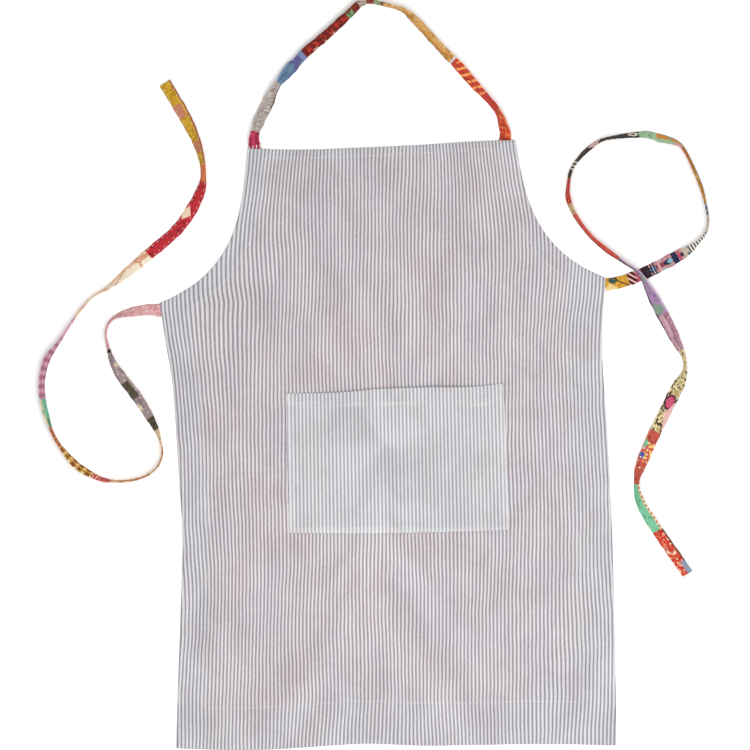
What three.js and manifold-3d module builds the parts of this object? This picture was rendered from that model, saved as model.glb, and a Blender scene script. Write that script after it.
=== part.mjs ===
// Butcher apron: a ticking-stripe front with turned hems, a two-piece quilted patchwork backing,
// armhole facings, a patch pocket, and a patchwork neck loop and two patchwork waist ties.
// Millimetres. The apron lies flat, face up: +Z up, +Y towards the neck, and the origin is at the
// bottom centre of the body without its straps.

import * as THREE from 'three';
import { ConvexGeometry } from 'three/addons/geometries/ConvexGeometry.js';
import { mergeVertices } from 'three/addons/utils/BufferGeometryUtils.js';
import Module from 'manifold-3d';

const wasm = await Module();
wasm.setup();

// ---------------------------------------------------------------- driving dimensions

const gap = 0.3;               // clearance between pieces that touch
const clothThickness = 0.6;    // ticking front, and the pocket
const turningThickness = 0.5;  // hem turnings and facings at the back
const quiltThickness = 1.2;    // quilted backing
const strapWidth = 17;
const strapThickness = 2.4;
const threadWidth = 0.8;
const threadThickness = 0.4;

// How far each turned hem or facing reaches in from its edge of the body.
const hemDepth = { top: 14, armhole_right: 28, side_right: 50, bottom: 62, side_left: 38, armhole_left: 28 };
const backingUnderHem = 8;     // how far the backing runs on under a hem
const seamToHemEdge = 3;       // from a hem's inner edge out to its row of stitches

// Heights of the layers, from the surface that the apron lies on.
const backingBottom = turningThickness + gap;
const backingTop = backingBottom + quiltThickness;
const frontBottom = backingTop + gap;
const frontTop = frontBottom + clothThickness;
const pocketBottom = frontTop + gap;
const pocketTop = pocketBottom + clothThickness;

const point = (x, y) => new THREE.Vector2(x, y);

const neckLeft = point(-195, 412);
const neckRight = point(177, 423.5);
const waistLeft = point(-317, 197);
const waistRight = point(302, 232);
const hemLeft = point(-295, -421);
const hemRight = point(317, -417);

// The body's edges, clockwise as seen from the front, so that the cloth is on each one's right.
const edges = {
  top: new THREE.SplineCurve([
    neckLeft, point(-140, 410), point(-60, 411.5), point(40, 416.5), point(125, 421.5), neckRight,
  ]),
  armhole_right: new THREE.CubicBezierCurve(neckRight, point(188, 350), point(200, 272), waistRight),
  side_right: new THREE.CubicBezierCurve(waistRight, point(291, 120), point(322, -100), hemRight),
  bottom: new THREE.SplineCurve([
    hemRight, point(200, -415), point(60, -417.5), point(-40, -415), point(-180, -423.5), hemLeft,
  ]),
  side_left: new THREE.CubicBezierCurve(hemLeft, point(-276, -200), point(-292, 60), waistLeft),
  armhole_left: new THREE.CubicBezierCurve(waistLeft, point(-210, 240), point(-202, 318), neckLeft),
};
const edgeSteps = { top: 10, armhole_right: 14, side_right: 10, bottom: 12, side_left: 10, armhole_left: 14 };

// ---------------------------------------------------------------- solids

function solidOf(geometry) {
  geometry.deleteAttribute('normal');
  geometry.deleteAttribute('uv');
  const merged = mergeVertices(geometry);
  return new wasm.Manifold(new wasm.Mesh({
    numProp: 3,
    vertProperties: merged.attributes.position.array,
    triVerts: merged.index.array,
  }));
}

function geometryOf(solid) {
  const mesh = solid.getMesh();
  const geometry = new THREE.BufferGeometry();
  geometry.setAttribute('position', new THREE.BufferAttribute(mesh.vertProperties, 3));
  geometry.setIndex(new THREE.BufferAttribute(mesh.triVerts, 1));
  geometry.computeVertexNormals();
  return geometry;
}

// A flat piece of the given plan between two heights.
function slab(outline, low, high) {
  const geometry = new THREE.ExtrudeGeometry(new THREE.Shape(outline), {
    depth: high - low,
    bevelEnabled: false,
  });
  return solidOf(geometry.translate(0, 0, low));
}

function bodyOutline() {
  const outline = [];
  for (const [name, curve] of Object.entries(edges)) {
    outline.push(...curve.getPoints(edgeSteps[name]).slice(0, -1));
  }
  return outline;
}

// A row of points beside an edge, the given distance in from it, run on past both of its ends.
function beside(name, inset, overrun) {
  const curve = edges[name];
  const row = [];
  for (let i = 0; i <= edgeSteps[name]; i += 1) {
    const t = i / edgeSteps[name];
    const along = curve.getTangent(t);
    const place = curve.getPoint(t).add(point(along.y, -along.x).multiplyScalar(inset));
    if (i === 0) row.push(place.clone().addScaledVector(along, -overrun));
    row.push(place);
    if (i === edgeSteps[name]) row.push(place.clone().addScaledVector(along, overrun));
  }
  return row;
}

// The strip between two distances in from an edge, run on past the edge's ends by overrun.
function strip(name, outer, inner, low, high, overrun) {
  return slab([...beside(name, outer, overrun), ...beside(name, inner, overrun).reverse()], low, high);
}

// The body's plan with a strip taken off inside each named edge.
function inside(insets, low, high) {
  let solid = slab(bodyOutline(), low, high);
  const outside = -30;
  const overrun = 40;
  for (const [name, inset] of Object.entries(insets)) {
    solid = solid.subtract(strip(name, outside, inset, low - 1, high + 1, overrun));
  }
  return solid;
}

function eachHem(change) {
  return Object.fromEntries(Object.entries(hemDepth).map(([name, depth]) => [name, depth + change]));
}

// ---------------------------------------------------------------- body layers

// One cloth: the striped face, folded over at its edges into the turnings that hold the backing.
function frontPanel() {
  const below = -1;
  const facingRoom = turningThickness + gap;
  return slab(bodyOutline(), 0, frontTop)
    .subtract(inside(eachHem(-backingUnderHem - gap), turningThickness, frontBottom))
    .subtract(inside(eachHem(0), below, backingBottom))
    .subtract(strip('armhole_left', -gap, hemDepth.armhole_left + gap, below, facingRoom, gap))
    .subtract(strip('armhole_right', -gap, hemDepth.armhole_right + gap, below, facingRoom, gap));
}

function armholeFacing(name) {
  const overrun = 0.01;
  return strip(name, 0, hemDepth[name], 0, turningThickness, overrun).intersect(inside({}, -1, 1));
}

// One half of the backing, split at the seam down the middle of the body.
function backingHalf(side) {
  const reach = 500;
  const near = side * gap / 2;
  const far = side * reach;
  const half = [point(near, -reach), point(far, -reach), point(far, reach), point(near, reach)];
  return inside(eachHem(-backingUnderHem), backingBottom, backingTop)
    .intersect(slab(half, 0, frontTop));
}

// The row of stitches along one hem, stopping short of the rows that it meets.
function hemThread(name) {
  const outer = hemDepth[name] - seamToHemEdge;
  const others = eachHem(gap - seamToHemEdge + threadWidth);
  delete others[name];
  const low = frontTop + gap;
  const high = low + threadThickness;
  const overrun = 30;
  const row = strip(name, outer, outer + threadWidth, low, high, overrun);
  return row.intersect(inside(others, low - 1, high + 1));
}

// ---------------------------------------------------------------- pocket

const pocketHemDepth = 21;
const pocketFlange = 6;        // the sewn-down margin at the sides and the bottom
const pocketSlope = 20;        // how far the cloth takes to rise from the flange to the crown
const pocketRise = 7;          // height of the crown above the flange's underside

// The pocket's corners, in from its sewn edges, with the mouth moved up by mouthShift.
function pocketCorners(inset, mouthShift) {
  return [
    point(-142 + inset, 72 + mouthShift),
    point(0, 83 + mouthShift),
    point(160 - inset, 85 + mouthShift),
    point(168 - inset, -118 + inset),
    point(-136 + inset, -122 + inset),
  ];
}

function hull(lowCorners, low, highCorners, high) {
  return solidOf(new ConvexGeometry([
    ...lowCorners.map((corner) => new THREE.Vector3(corner.x, corner.y, low)),
    ...highCorners.map((corner) => new THREE.Vector3(corner.x, corner.y, high)),
  ]));
}

function pocketPanel() {
  const past = 5;
  const crown = pocketBottom + pocketRise;
  const rise = pocketFlange + pocketSlope;
  const cover = hull(pocketCorners(pocketFlange, 0), pocketBottom, pocketCorners(rise, 0), crown);
  const room = hull(
    pocketCorners(pocketFlange + 1, past), pocketBottom - gap / 2,
    pocketCorners(rise + 1, past), crown - clothThickness,
  );
  return slab(pocketCorners(0, 0), pocketBottom, pocketTop).add(cover).subtract(room);
}

// Stitches down one side, along the bottom and up the other side.
function pocketThread() {
  const rowInset = 2.6;
  const belowMouth = -12;
  const outer = pocketCorners(rowInset, belowMouth);
  const inner = pocketCorners(rowInset + threadWidth, belowMouth);
  const row = [outer[0], outer[4], outer[3], outer[2], inner[2], inner[3], inner[4], inner[0]];
  return slab(row, pocketTop + gap, pocketTop + gap + threadThickness);
}

// Stitches across the crown that hold the turned hem of the mouth.
function pocketHemThread() {
  const ends = pocketFlange + pocketSlope + 2;
  const row = [
    ...pocketCorners(ends, -pocketHemDepth).slice(0, 3),
    ...pocketCorners(ends, -pocketHemDepth - threadWidth).slice(0, 3).reverse(),
  ];
  const low = pocketBottom + pocketRise + gap;
  return slab(row, low, low + threadThickness);
}

// A bar tack at one end of the mouth.
function pocketTack(corner, side) {
  const tackWidth = 2.2;
  const tackLength = 9;
  const margin = 1;
  const near = corner.x + side * margin;
  const far = near + side * tackWidth;
  const top = corner.y - margin;
  const bottom = top - tackLength;
  const row = [point(near, top), point(far, top), point(far, bottom), point(near, bottom)];
  return slab(row, pocketTop + gap, pocketTop + gap + threadThickness);
}

// ---------------------------------------------------------------- straps

// Each station is x, y, the strap's roll about its own line in degrees (0 flat, 90 on its edge),
// and how far its lower edge is lifted off the surface, where it crosses itself.
const neckLoopRoute = [
  [-185, 413.4, 0], [-186, 424, 34], [-183, 438, 46], [-177, 455, 14], [-168, 473, 10],
  [-161, 488, 41], [-152, 502, 64], [-138, 520, 24], [-126, 532, 44], [-113, 546, 42],
  [-89, 566, 46], [-65, 588, 50], [-51, 601, 55], [-42, 610, 60], [-32, 615, 72], [-21, 615, 80],
  [-4, 611, 82], [11, 607, 84], [22, 603, 75], [33, 594, 62], [47, 580, 56], [64, 561, 56],
  [81, 543, 53], [96, 528, 48], [110, 512, 46], [124, 496, 55], [138, 481, 65], [149, 468, 66],
  [156, 456, 60], [160, 443, 44], [163, 434, 30], [163, 424.2, 0],
];
const leftTieRoute = [
  [-317.8, 187, 0], [-331, 188, 22], [-348, 186, 36], [-363, 183, 50], [-375, 179, 68],
  [-385, 172, 78], [-390, 162, 81], [-391, 149, 83], [-383, 118, 60], [-370, 95, 34],
  [-345, 62, 30], [-324, 27, 57], [-316, 7, 82], [-313, -11, 84], [-319, -29, 85],
  [-334, -42, 85], [-357, -49, 85], [-382, -50, 83], [-403, -45, 71], [-432, -28, 60],
  [-455, -1, 82], [-467, 21, 85], [-475, 46, 71], [-480, 72, 68], [-479, 97, 69],
  [-472, 121, 66], [-455, 145, 88], [-430, 183, 102], [-411, 204, 100], [-389, 218, 109],
  [-361, 240, 145], [-332, 265, 162], [-295, 297, 160], [-274, 325, 166], [-260, 353, 143],
  [-256, 374, 117], [-259, 399, 121], [-268, 427, 139], [-285, 461, 168], [-310, 503, 170],
];
const rightTieRoute = [
  [304.6, 223, 0], [325, 227, 0], [350, 236, 0], [378, 249, 2], [404, 263, 20], [419, 272, 53],
  [431, 282, 75], [441, 295, 80], [444, 313, 77], [441, 332, 80], [433, 362, 70], [412, 408, 72],
  [398, 420, 57], [377, 426, 44], [354, 431, 54], [303, 425, 77], [282, 414, 69], [266, 399, 76],
  [254, 381, 81], [250, 360, 81], [250, 342, 73], [260, 318, 78], [281, 290, 80],
  [304, 270, 75, 1.2], [328, 253, 84, 3], [348, 239, 82, 3.4], [361, 218, 58, 3],
  [375, 193, 20, 1.4], [390, 165, 26], [402, 140, 54], [411, 120, 80], [411, 100, 72],
  [400, 76, 8], [384, 44, 2], [367, 10, 6], [352, -25, 30], [345, -49, 71], [348, -73, 55],
  [363, -102, 34], [416, -179, 20],
];

const radians = (degrees) => THREE.MathUtils.degToRad(degrees);

function smoothThrough(points) {
  return new THREE.CatmullRomCurve3(points, false, 'catmullrom', 0.5);
}

// A strap's centreline, at the height that its roll gives it.
class Strap extends THREE.Curve {
  constructor(stations) {
    super();
    this.arcLengthDivisions = 800;
    this.plan = smoothThrough(stations.map(([x, y]) => new THREE.Vector3(x, y, 0)));
    this.lean = smoothThrough(stations.map(([, , roll, lift = 0]) => new THREE.Vector3(roll, lift, 0)));
  }

  getPoint(t, target = new THREE.Vector3()) {
    const lean = this.lean.getPoint(t);
    const roll = radians(lean.x);
    this.plan.getPoint(t, target);
    target.z = Math.max(lean.y, 0)
      + Math.abs(Math.sin(roll)) * strapWidth / 2
      + Math.abs(Math.cos(roll)) * strapThickness / 2;
    return target;
  }

  rollAt(u) {
    return radians(this.lean.getPoint(this.getUtoTmapping(u)).x);
  }
}

// The stretch of a strap between two distances along it, with the strap's own roll in its frames.
class Stretch extends THREE.Curve {
  constructor(strap, from, to) {
    super();
    this.strap = strap;
    this.from = from / strap.getLength();
    this.to = to / strap.getLength();
  }

  along(t) {
    return this.from + t * (this.to - this.from);
  }

  getPoint(t, target = new THREE.Vector3()) {
    return this.strap.getPointAt(this.along(t), target);
  }

  getPointAt(u, target) {
    return this.getPoint(u, target);
  }

  computeFrenetFrames(segments) {
    const frames = { tangents: [], normals: [], binormals: [] };
    for (let i = 0; i <= segments; i += 1) {
      const u = this.along(i / segments);
      const roll = this.strap.rollAt(u);
      const tangent = this.strap.getTangentAt(u);
      const across = new THREE.Vector3(-tangent.y, tangent.x, 0).normalize()
        .multiplyScalar(Math.cos(roll));
      across.z = Math.sin(roll);
      across.addScaledVector(tangent, -across.dot(tangent)).normalize();
      frames.tangents.push(tangent);
      frames.normals.push(across);
      frames.binormals.push(new THREE.Vector3().crossVectors(tangent, across));
    }
    return frames;
  }
}

// The patches of each strap from its root on: name, length along the strap, colour.
const neckPatches = [
  ['crimson', 23, 0xb23b55], ['grey_print', 76, 0xb1a69d], ['blue', 54, 0x5d74a0],
  ['dark_red', 80, 0x8f2a22], ['green', 11, 0x8a9a72], ['red', 11, 0x8e2d24],
  ['cream', 12, 0xc9b8a4], ['red_and_green', 20, 0x8c7a66], ['ochre', 132, 0xcb9a58],
  ['orange_stripe', 90, 0xcf5836], ['orange_print', Infinity, 0xc25440],
];
const leftTiePatches = [
  ['salmon', 112, 0xd9a4a0], ['mauve_dots', 131, 0x8d7f7c], ['tan', 125, 0xcba377],
  ['coral', 27, 0xb9544c], ['ochre_print', 60, 0xa47a34], ['orange', 30, 0xb9683c],
  ['mint', 41, 0x6da48b], ['pink_plaid', 125, 0xb87a92], ['cream_veined', 136, 0xe3c3ab],
  ['crimson', 129, 0xa62f36], ['orange_turn', 24, 0xc76c48], ['mustard_and_rose', Infinity, 0xb98a3c],
];
const rightTiePatches = [
  ['ochre_and_teal', 30, 0xc99a4a], ['pink_print', 21, 0xb86a70], ['navy', 12, 0x1c1a26],
  ['geometric', 52, 0x7c5560], ['beige_dots', 68, 0xb5a593], ['teal', 16, 0x6f8f94],
  ['mustard', 85, 0x9a7434], ['orange_and_mint', 64, 0xb9ad78], ['black_print', 124, 0x2e2520],
  ['red_print', 36, 0xb5402f], ['pale_gold', 16, 0xb9a27c], ['red', 88, 0xb03a2c],
  ['purple', 102, 0xa27a98], ['dusky_mauve', 55, 0xa37680], ['beige_veined', 124, 0xc9b98f],
  ['red_and_blue', 79, 0xb84a48], ['mint', 72, 0x78b794], ['red_flowers', Infinity, 0xd04a42],
];

const object = new THREE.Group();

function add(name, geometry, colour, roughness = 0.9) {
  const material = new THREE.MeshStandardMaterial({ color: colour, roughness, metalness: 0 });
  const mesh = new THREE.Mesh(geometry, material);
  mesh.name = name;
  object.add(mesh);
}

function addStrap(strapName, stations, patches) {
  const strap = new Strap(stations);
  const total = strap.getLength();
  const longestStep = 13;
  const half = point(strapWidth / 2, strapThickness / 2);
  const section = new THREE.Shape([
    point(-half.x, -half.y), point(half.x, -half.y), point(half.x, half.y), point(-half.x, half.y),
  ]);
  let start = 0;
  for (const [patchName, length, colour] of patches) {
    const end = Math.min(start + length, total);
    const stretch = new Stretch(strap, start, end === total ? total : end - gap);
    const steps = Math.max(2, Math.ceil((end - start) / longestStep));
    const geometry = new THREE.ExtrudeGeometry(section, { steps, extrudePath: stretch });
    add(`${strapName}_${patchName}`, geometry, colour);
    start = end;
  }
}

const ticking = 0xb9b9c2;
const quilt = 0xb9a0a4;
const thread = 0xe8e4da;

add('front_panel', geometryOf(frontPanel()), ticking);
add('armhole_facing_left', geometryOf(armholeFacing('armhole_left')), ticking);
add('armhole_facing_right', geometryOf(armholeFacing('armhole_right')), ticking);
add('backing_left', geometryOf(backingHalf(-1)), quilt);
add('backing_right', geometryOf(backingHalf(1)), quilt);
for (const name of Object.keys(hemDepth)) {
  add(`${name}_thread`, geometryOf(hemThread(name)), thread);
}
add('pocket_panel', geometryOf(pocketPanel()), ticking);
add('pocket_thread', geometryOf(pocketThread()), thread);
add('pocket_hem_thread', geometryOf(pocketHemThread()), thread);
add('pocket_tack_left', geometryOf(pocketTack(pocketCorners(0, 0)[0], 1)), thread);
add('pocket_tack_right', geometryOf(pocketTack(pocketCorners(0, 0)[2], -1)), thread);
addStrap('neck_loop', neckLoopRoute, neckPatches);
addStrap('left_tie', leftTieRoute, leftTiePatches);
addStrap('right_tie', rightTieRoute, rightTiePatches);

export default object;
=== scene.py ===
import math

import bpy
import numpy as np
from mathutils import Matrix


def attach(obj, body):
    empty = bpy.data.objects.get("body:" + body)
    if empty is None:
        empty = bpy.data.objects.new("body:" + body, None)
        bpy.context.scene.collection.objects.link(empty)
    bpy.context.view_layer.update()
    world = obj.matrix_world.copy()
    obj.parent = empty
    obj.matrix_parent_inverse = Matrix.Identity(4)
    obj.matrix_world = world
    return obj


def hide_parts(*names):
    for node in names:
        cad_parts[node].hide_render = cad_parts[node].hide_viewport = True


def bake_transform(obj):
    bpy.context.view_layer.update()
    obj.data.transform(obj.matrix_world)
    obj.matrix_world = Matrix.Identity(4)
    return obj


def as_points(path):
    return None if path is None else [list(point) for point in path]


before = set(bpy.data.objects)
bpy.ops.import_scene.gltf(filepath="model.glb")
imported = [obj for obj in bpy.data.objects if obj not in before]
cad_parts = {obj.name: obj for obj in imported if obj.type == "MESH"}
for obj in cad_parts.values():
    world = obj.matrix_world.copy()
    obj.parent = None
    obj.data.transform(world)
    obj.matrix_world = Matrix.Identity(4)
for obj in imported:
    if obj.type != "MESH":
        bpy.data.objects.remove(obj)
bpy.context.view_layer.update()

# A butcher apron lying flat, face up: a striped ticking front with turned hems, a two-piece quilted
# patchwork backing, armhole facings, a patch pocket, and a neck loop and two waist ties sewn from
# strips of old printed cloth. Metres; +Z up, +Y towards the neck, the origin at the bottom centre
# of the body.

MM = 0.001

# ---------------------------------------------------------------- camera

CAMERA_HEIGHT = 4.0
VIEW_CENTRE = (-0.018, 0.0973)
VIEW_WIDTH = 1.0425
SENSOR = 36.0

camera_data = bpy.data.cameras.new("camera")
camera_data.sensor_width = SENSOR
camera_data.lens = SENSOR * CAMERA_HEIGHT / VIEW_WIDTH
camera_data.clip_end = 50.0
camera = bpy.data.objects.new("camera", camera_data)
camera.location = (*VIEW_CENTRE, CAMERA_HEIGHT)
bpy.context.scene.collection.objects.link(camera)
bpy.context.scene.camera = camera

# ---------------------------------------------------------------- lines in plan and in space


def smooth_line(points, count, clamped=False):
    """count points along a uniform Catmull-Rom curve through the given points."""
    p = np.array(points, float)
    first = p[0] if clamped else 2 * p[0] - p[1]
    last = p[-1] if clamped else 2 * p[-1] - p[-2]
    padded = np.vstack([first, p, last])
    at = np.linspace(0, len(p) - 1, count)
    i = np.minimum(at.astype(int), len(p) - 2)
    t = (at - i)[:, None]
    a, b, c, d = (padded[i + k] for k in range(4))
    return 0.5 * (
        2 * b + (c - a) * t + (2 * a - 5 * b + 4 * c - d) * t**2 + (3 * b - a - 3 * c + d) * t**3
    )


def bezier(points, count):
    """count points along a cubic Bezier curve."""
    a, b, c, d = (np.array(p, float) for p in points)
    t = np.linspace(0, 1, count)[:, None]
    return (1 - t) ** 3 * a + 3 * (1 - t) ** 2 * t * b + 3 * (1 - t) * t**2 * c + t**3 * d


def distance_along(line):
    steps = np.linalg.norm(np.diff(line, axis=0), axis=1)
    return np.concatenate([[0], np.cumsum(steps)])


def at_distances(line, distances):
    """The points of a line at the given distances along it."""
    along = distance_along(line)
    return np.stack([np.interp(distances, along, column) for column in line.T], axis=1)


def at_steps(line, steps):
    """The points of a line at fractions of its own steps."""
    own = np.arange(len(line))
    return np.stack([np.interp(steps, own, column) for column in line.T], axis=1)


def evenly(line, steps):
    """The points that part a line into that many equal steps."""
    return at_distances(line, np.linspace(0, distance_along(line)[-1], steps + 1))


def unit(vectors):
    return vectors / np.maximum(np.linalg.norm(vectors, axis=-1, keepdims=True), 1e-12)


def smoothstep(low, high, value):
    """0 at low and 1 at high, turning smoothly; low may be the greater."""
    t = np.clip((value - low) / (high - low), 0, 1)
    return t * t * (3 - 2 * t)


# ---------------------------------------------------------------- meshes


def make_piece(name, points, faces, materials, face_materials=None):
    """A smooth-shaded mesh object, with the material index of each face."""
    mesh = bpy.data.meshes.new(name)
    mesh.from_pydata([tuple(p) for p in points], [], [tuple(f) for f in faces])
    for material in materials:
        mesh.materials.append(material)
    if face_materials is not None:
        mesh.polygons.foreach_set("material_index", np.array(face_materials, np.int32))
    mesh.polygons.foreach_set("use_smooth", np.ones(len(faces), bool))
    mesh.update()
    piece = bpy.data.objects.new(name, mesh)
    bpy.context.scene.collection.objects.link(piece)
    return piece


def give_vector(piece, name, vectors):
    """A vector for each point of a piece, which its material reads."""
    layer = piece.data.attributes.new(name, "FLOAT_VECTOR", "POINT")
    layer.data.foreach_set("vector", np.array(vectors, np.float32).ravel())


def grid_faces(rows, columns, closed=False):
    """Quads between the points of a grid that is stored row by row. If it is closed, the end of
    each row joins its start."""
    faces = []
    across = columns if closed else columns - 1
    for r in range(rows - 1):
        for c in range(across):
            a = r * columns + c
            b = r * columns + (c + 1) % columns
            faces.append((a, b, b + columns, a + columns))
    return faces


STITCH_SIDES = 5
STITCH_RINGS = (
    (-1.0, 0.4, -0.9), (-0.72, 0.95, 0.15), (0.0, 1.0, 0.55), (0.72, 0.95, 0.15), (1.0, 0.4, -0.9),
)


def stitches(name, centres, directions, ups, half_length, radius, materials, which=None):
    """Short threads lying on cloth, their ends going down into it. Each ring of a stitch has its
    place along it in half lengths, and its radius and its height in radii. which is the index of
    each stitch's material."""
    centres = np.array(centres, float)
    directions = unit(np.array(directions, float))
    ups = np.array(ups, float)
    ups = unit(ups - directions * (ups * directions).sum(1, keepdims=True))
    aside = np.cross(directions, ups)
    turn = np.linspace(0, 2 * math.pi, STITCH_SIDES, endpoint=False)
    rings = []
    for place, thickness, height in STITCH_RINGS:
        middle = centres + directions * place * half_length + ups * height * radius
        for angle in turn:
            out = aside * math.cos(angle) + ups * math.sin(angle)
            rings.append(middle + out * radius * thickness)
    points = np.stack(rings, axis=1).reshape(-1, 3)
    per_stitch = len(rings)
    pattern = grid_faces(len(STITCH_RINGS), STITCH_SIDES, closed=True)
    pattern.append(tuple(reversed(range(STITCH_SIDES))))
    pattern.append(tuple(range(per_stitch - STITCH_SIDES, per_stitch)))
    faces = [
        tuple(k * per_stitch + i for i in face) for k in range(len(centres)) for face in pattern
    ]
    if which is not None:
        used, which = np.unique(which, return_inverse=True)
        materials = [materials[k] for k in used]
        which = np.repeat(which, len(pattern))
    return make_piece(name, points, faces, materials, which)


# ---------------------------------------------------------------- materials

WHITENESS = 0.76         # the albedo of a cloth that looks white in this light
STRAP_WRINKLES = 0.45    # how deep the small wrinkles of each cloth are, in millimetres
QUILT_WRINKLES = 0.4
TICKING_WRINKLES = 0.12
WEAVE_DEPTH = 0.03
MOTTLE_SIZE = 3.0        # the size of the small darker places in a cloth, in millimetres,
MOTTLE_VALUE = 0.88      # how light they are beside the rest,
MOTTLE_STRENGTH = 0.6    # and how much of that shows
FIBRE_SCALE = 1800.0     # of the noise that makes a thread fuzzy, per metre
FIBRE_SHADE = 0.8        # how light a thread is between its fibres


def tint(code):
    """A colour from its six hex digits, as linear red, green, blue and alpha."""
    parts = []
    for i in (0, 2, 4):
        value = int(code[i:i + 2], 16) / 255
        linear = value / 12.92 if value <= 0.04045 else ((value + 0.055) / 1.055) ** 2.4
        parts.append(linear * WHITENESS)
    return (*parts, 1.0)


class Cloth:
    """A cloth's material: prints laid over a ground colour, then its weave and small wrinkles.
    Its pattern comes from a vector that every point carries, in millimetres along and across."""

    def __init__(self, name, vector):
        self.material = bpy.data.materials.new(name)
        self.material.use_nodes = True
        self.tree = self.material.node_tree
        self.shader = self.tree.nodes["Principled BSDF"]
        for socket, value in (
            ("Roughness", 0.92), ("Specular IOR Level", 0.12),
            ("Sheen Weight", 0.04), ("Sheen Roughness", 0.6),
        ):
            self.shader.inputs[socket].default_value = value
        self.place = self.node("Attribute", attribute_name=vector).outputs["Vector"]
        split = self.node("SeparateXYZ", {0: self.place})
        self.along, self.across, self.third = split.outputs

    def node(self, kind, inputs=None, **settings):
        made = self.tree.nodes.new("ShaderNode" + kind)
        for key, value in settings.items():
            setattr(made, key, value)
        for socket, value in (inputs or {}).items():
            if isinstance(value, bpy.types.NodeSocket):
                self.tree.links.new(value, made.inputs[socket])
            else:
                made.inputs[socket].default_value = value
        return made

    def math(self, operation, a, b=0.0, c=0.0):
        return self.node("Math", {0: a, 1: b, 2: c}, operation=operation).outputs[0]

    def between(self, value, low, high):
        """0 below low and 1 above high, or the other way round, turning smoothly."""
        flip = low > high
        inputs = {"Value": value, "From Min": min(low, high), "From Max": max(low, high)}
        inputs["To Min"] = 1.0 if flip else 0.0
        inputs["To Max"] = 0.0 if flip else 1.0
        return self.node("MapRange", inputs, interpolation_type="SMOOTHSTEP").outputs[0]

    def stripes(self, place, share, soft):
        """One stripe in each whole turn of place, taking up that share of it."""
        off_middle = self.math("ABSOLUTE", self.math("SUBTRACT", self.math("FRACT", place), 0.5))
        return self.between(off_middle, share / 2 + soft, share / 2 - soft)

    def scaled(self, size, stretch):
        """What a pattern needs to repeat about every size millimetres."""
        moved = self.node("VectorMath", {0: self.place, 1: stretch}, operation="MULTIPLY").outputs[0]
        return {"Vector": moved, "Scale": 1 / size}

    def noise(self, size, detail=2.0, stretch=(1, 1, 1)):
        """Soft noise from 0 to 1 whose lumps are about size millimetres."""
        inputs = self.scaled(size, stretch) | {"Detail": detail, "Roughness": 0.55}
        return self.node("TexNoise", inputs).outputs[0]

    def cells(self, size, feature, stretch):
        """The distance to a point or an edge of cells that are about size millimetres."""
        inputs = self.scaled(size, stretch)
        return self.node("TexVoronoi", inputs, feature=feature).outputs["Distance"]

    def mix(self, mask, under, over, blend="MIX"):
        inputs = {0: mask, 6: under, 7: over}
        return self.node("Mix", inputs, data_type="RGBA", blend_type=blend).outputs[2]

    def printed(self, ground, prints):
        """The ground colour, with the prints laid over it."""
        colour = self.mix(0.0, tint(ground), tint(ground))
        for code, print_mask in prints:
            colour = self.mix(print_mask(self), colour, tint(code))
        return colour

    def finish(self, colour, wrinkle_depth, weave=0.55, wrinkle=7.0):
        """Mottles the colour a little, and adds the weave and the wrinkles as bumps."""
        mottle = self.between(self.noise(MOTTLE_SIZE, 3.0), 0.25, 0.75)
        worn = self.node("HueSaturation", {
            "Color": colour, "Saturation": 1.0, "Value": MOTTLE_VALUE, "Hue": 0.5, "Fac": 1.0,
        })
        colour = self.mix(self.math("MULTIPLY", mottle, MOTTLE_STRENGTH), colour, worn.outputs[0])
        turn = 2 * math.pi / weave
        warp = self.math("SINE", self.math("MULTIPLY", self.along, turn))
        weft = self.math("SINE", self.math("MULTIPLY", self.across, turn))
        threads = self.math("MULTIPLY", warp, weft)
        wrinkles = self.noise(wrinkle, 2.0)
        height = self.math(
            "ADD",
            self.math("MULTIPLY", threads, WEAVE_DEPTH * MM),
            self.math("MULTIPLY", wrinkles, wrinkle_depth * MM),
        )
        bump = self.node("Bump", {"Height": height, "Distance": 1.0, "Strength": 1.0})
        self.tree.links.new(bump.outputs[0], self.shader.inputs["Normal"])
        self.tree.links.new(colour, self.shader.inputs["Base Color"])
        return self.material


# The prints. Each gives a function that makes its mask, 1 where the print's colour is.


def bands(pitch, share=0.5, slant=0.0, wobble=0.0, start=0.0):
    """Stripes across the strap, sheared by slant and made wavy by wobble."""
    def mask(cloth):
        place = cloth.math("MULTIPLY_ADD", cloth.across, slant, cloth.along)
        place = cloth.math("SUBTRACT", place, start)
        if wobble:
            place = cloth.math("MULTIPLY_ADD", cloth.noise(9.0), wobble, place)
        return cloth.stripes(cloth.math("DIVIDE", place, pitch), share, min(0.12, 0.35 / pitch))
    return mask


def lengthwise(pitch, share=0.5, start=0.0):
    """Stripes along the strap."""
    def mask(cloth):
        place = cloth.math("DIVIDE", cloth.math("SUBTRACT", cloth.across, start), pitch)
        return cloth.stripes(place, share, 0.08)
    return mask


def left_of(limit):
    """Everything on the strap's left of a line along it."""
    return lambda cloth: cloth.between(cloth.across, limit - 0.5, limit + 0.5)


def right_of(limit):
    """Everything on the strap's right of a line along it."""
    return lambda cloth: cloth.between(cloth.across, limit + 0.5, limit - 0.5)


def spots(size, share=0.3, stretch=(1, 1, 1)):
    """Dots, one in each cell of about size millimetres."""
    return lambda cloth: cloth.between(cloth.cells(size, "F1", stretch), share + 0.06, share - 0.06)


def veins(size, width=0.08, stretch=(1, 1, 1)):
    """A net of branching lines."""
    def mask(cloth):
        return cloth.between(cloth.cells(size, "DISTANCE_TO_EDGE", stretch), width + 0.04, width - 0.04)
    return mask


def blotches(size, share=0.4, stretch=(1, 1, 1)):
    """Ragged patches over about that share of the cloth."""
    level = 0.5 + 0.32 * (0.5 - share)
    return lambda cloth: cloth.between(cloth.noise(size, 3.0, stretch), level - 0.02, level + 0.02)


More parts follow.
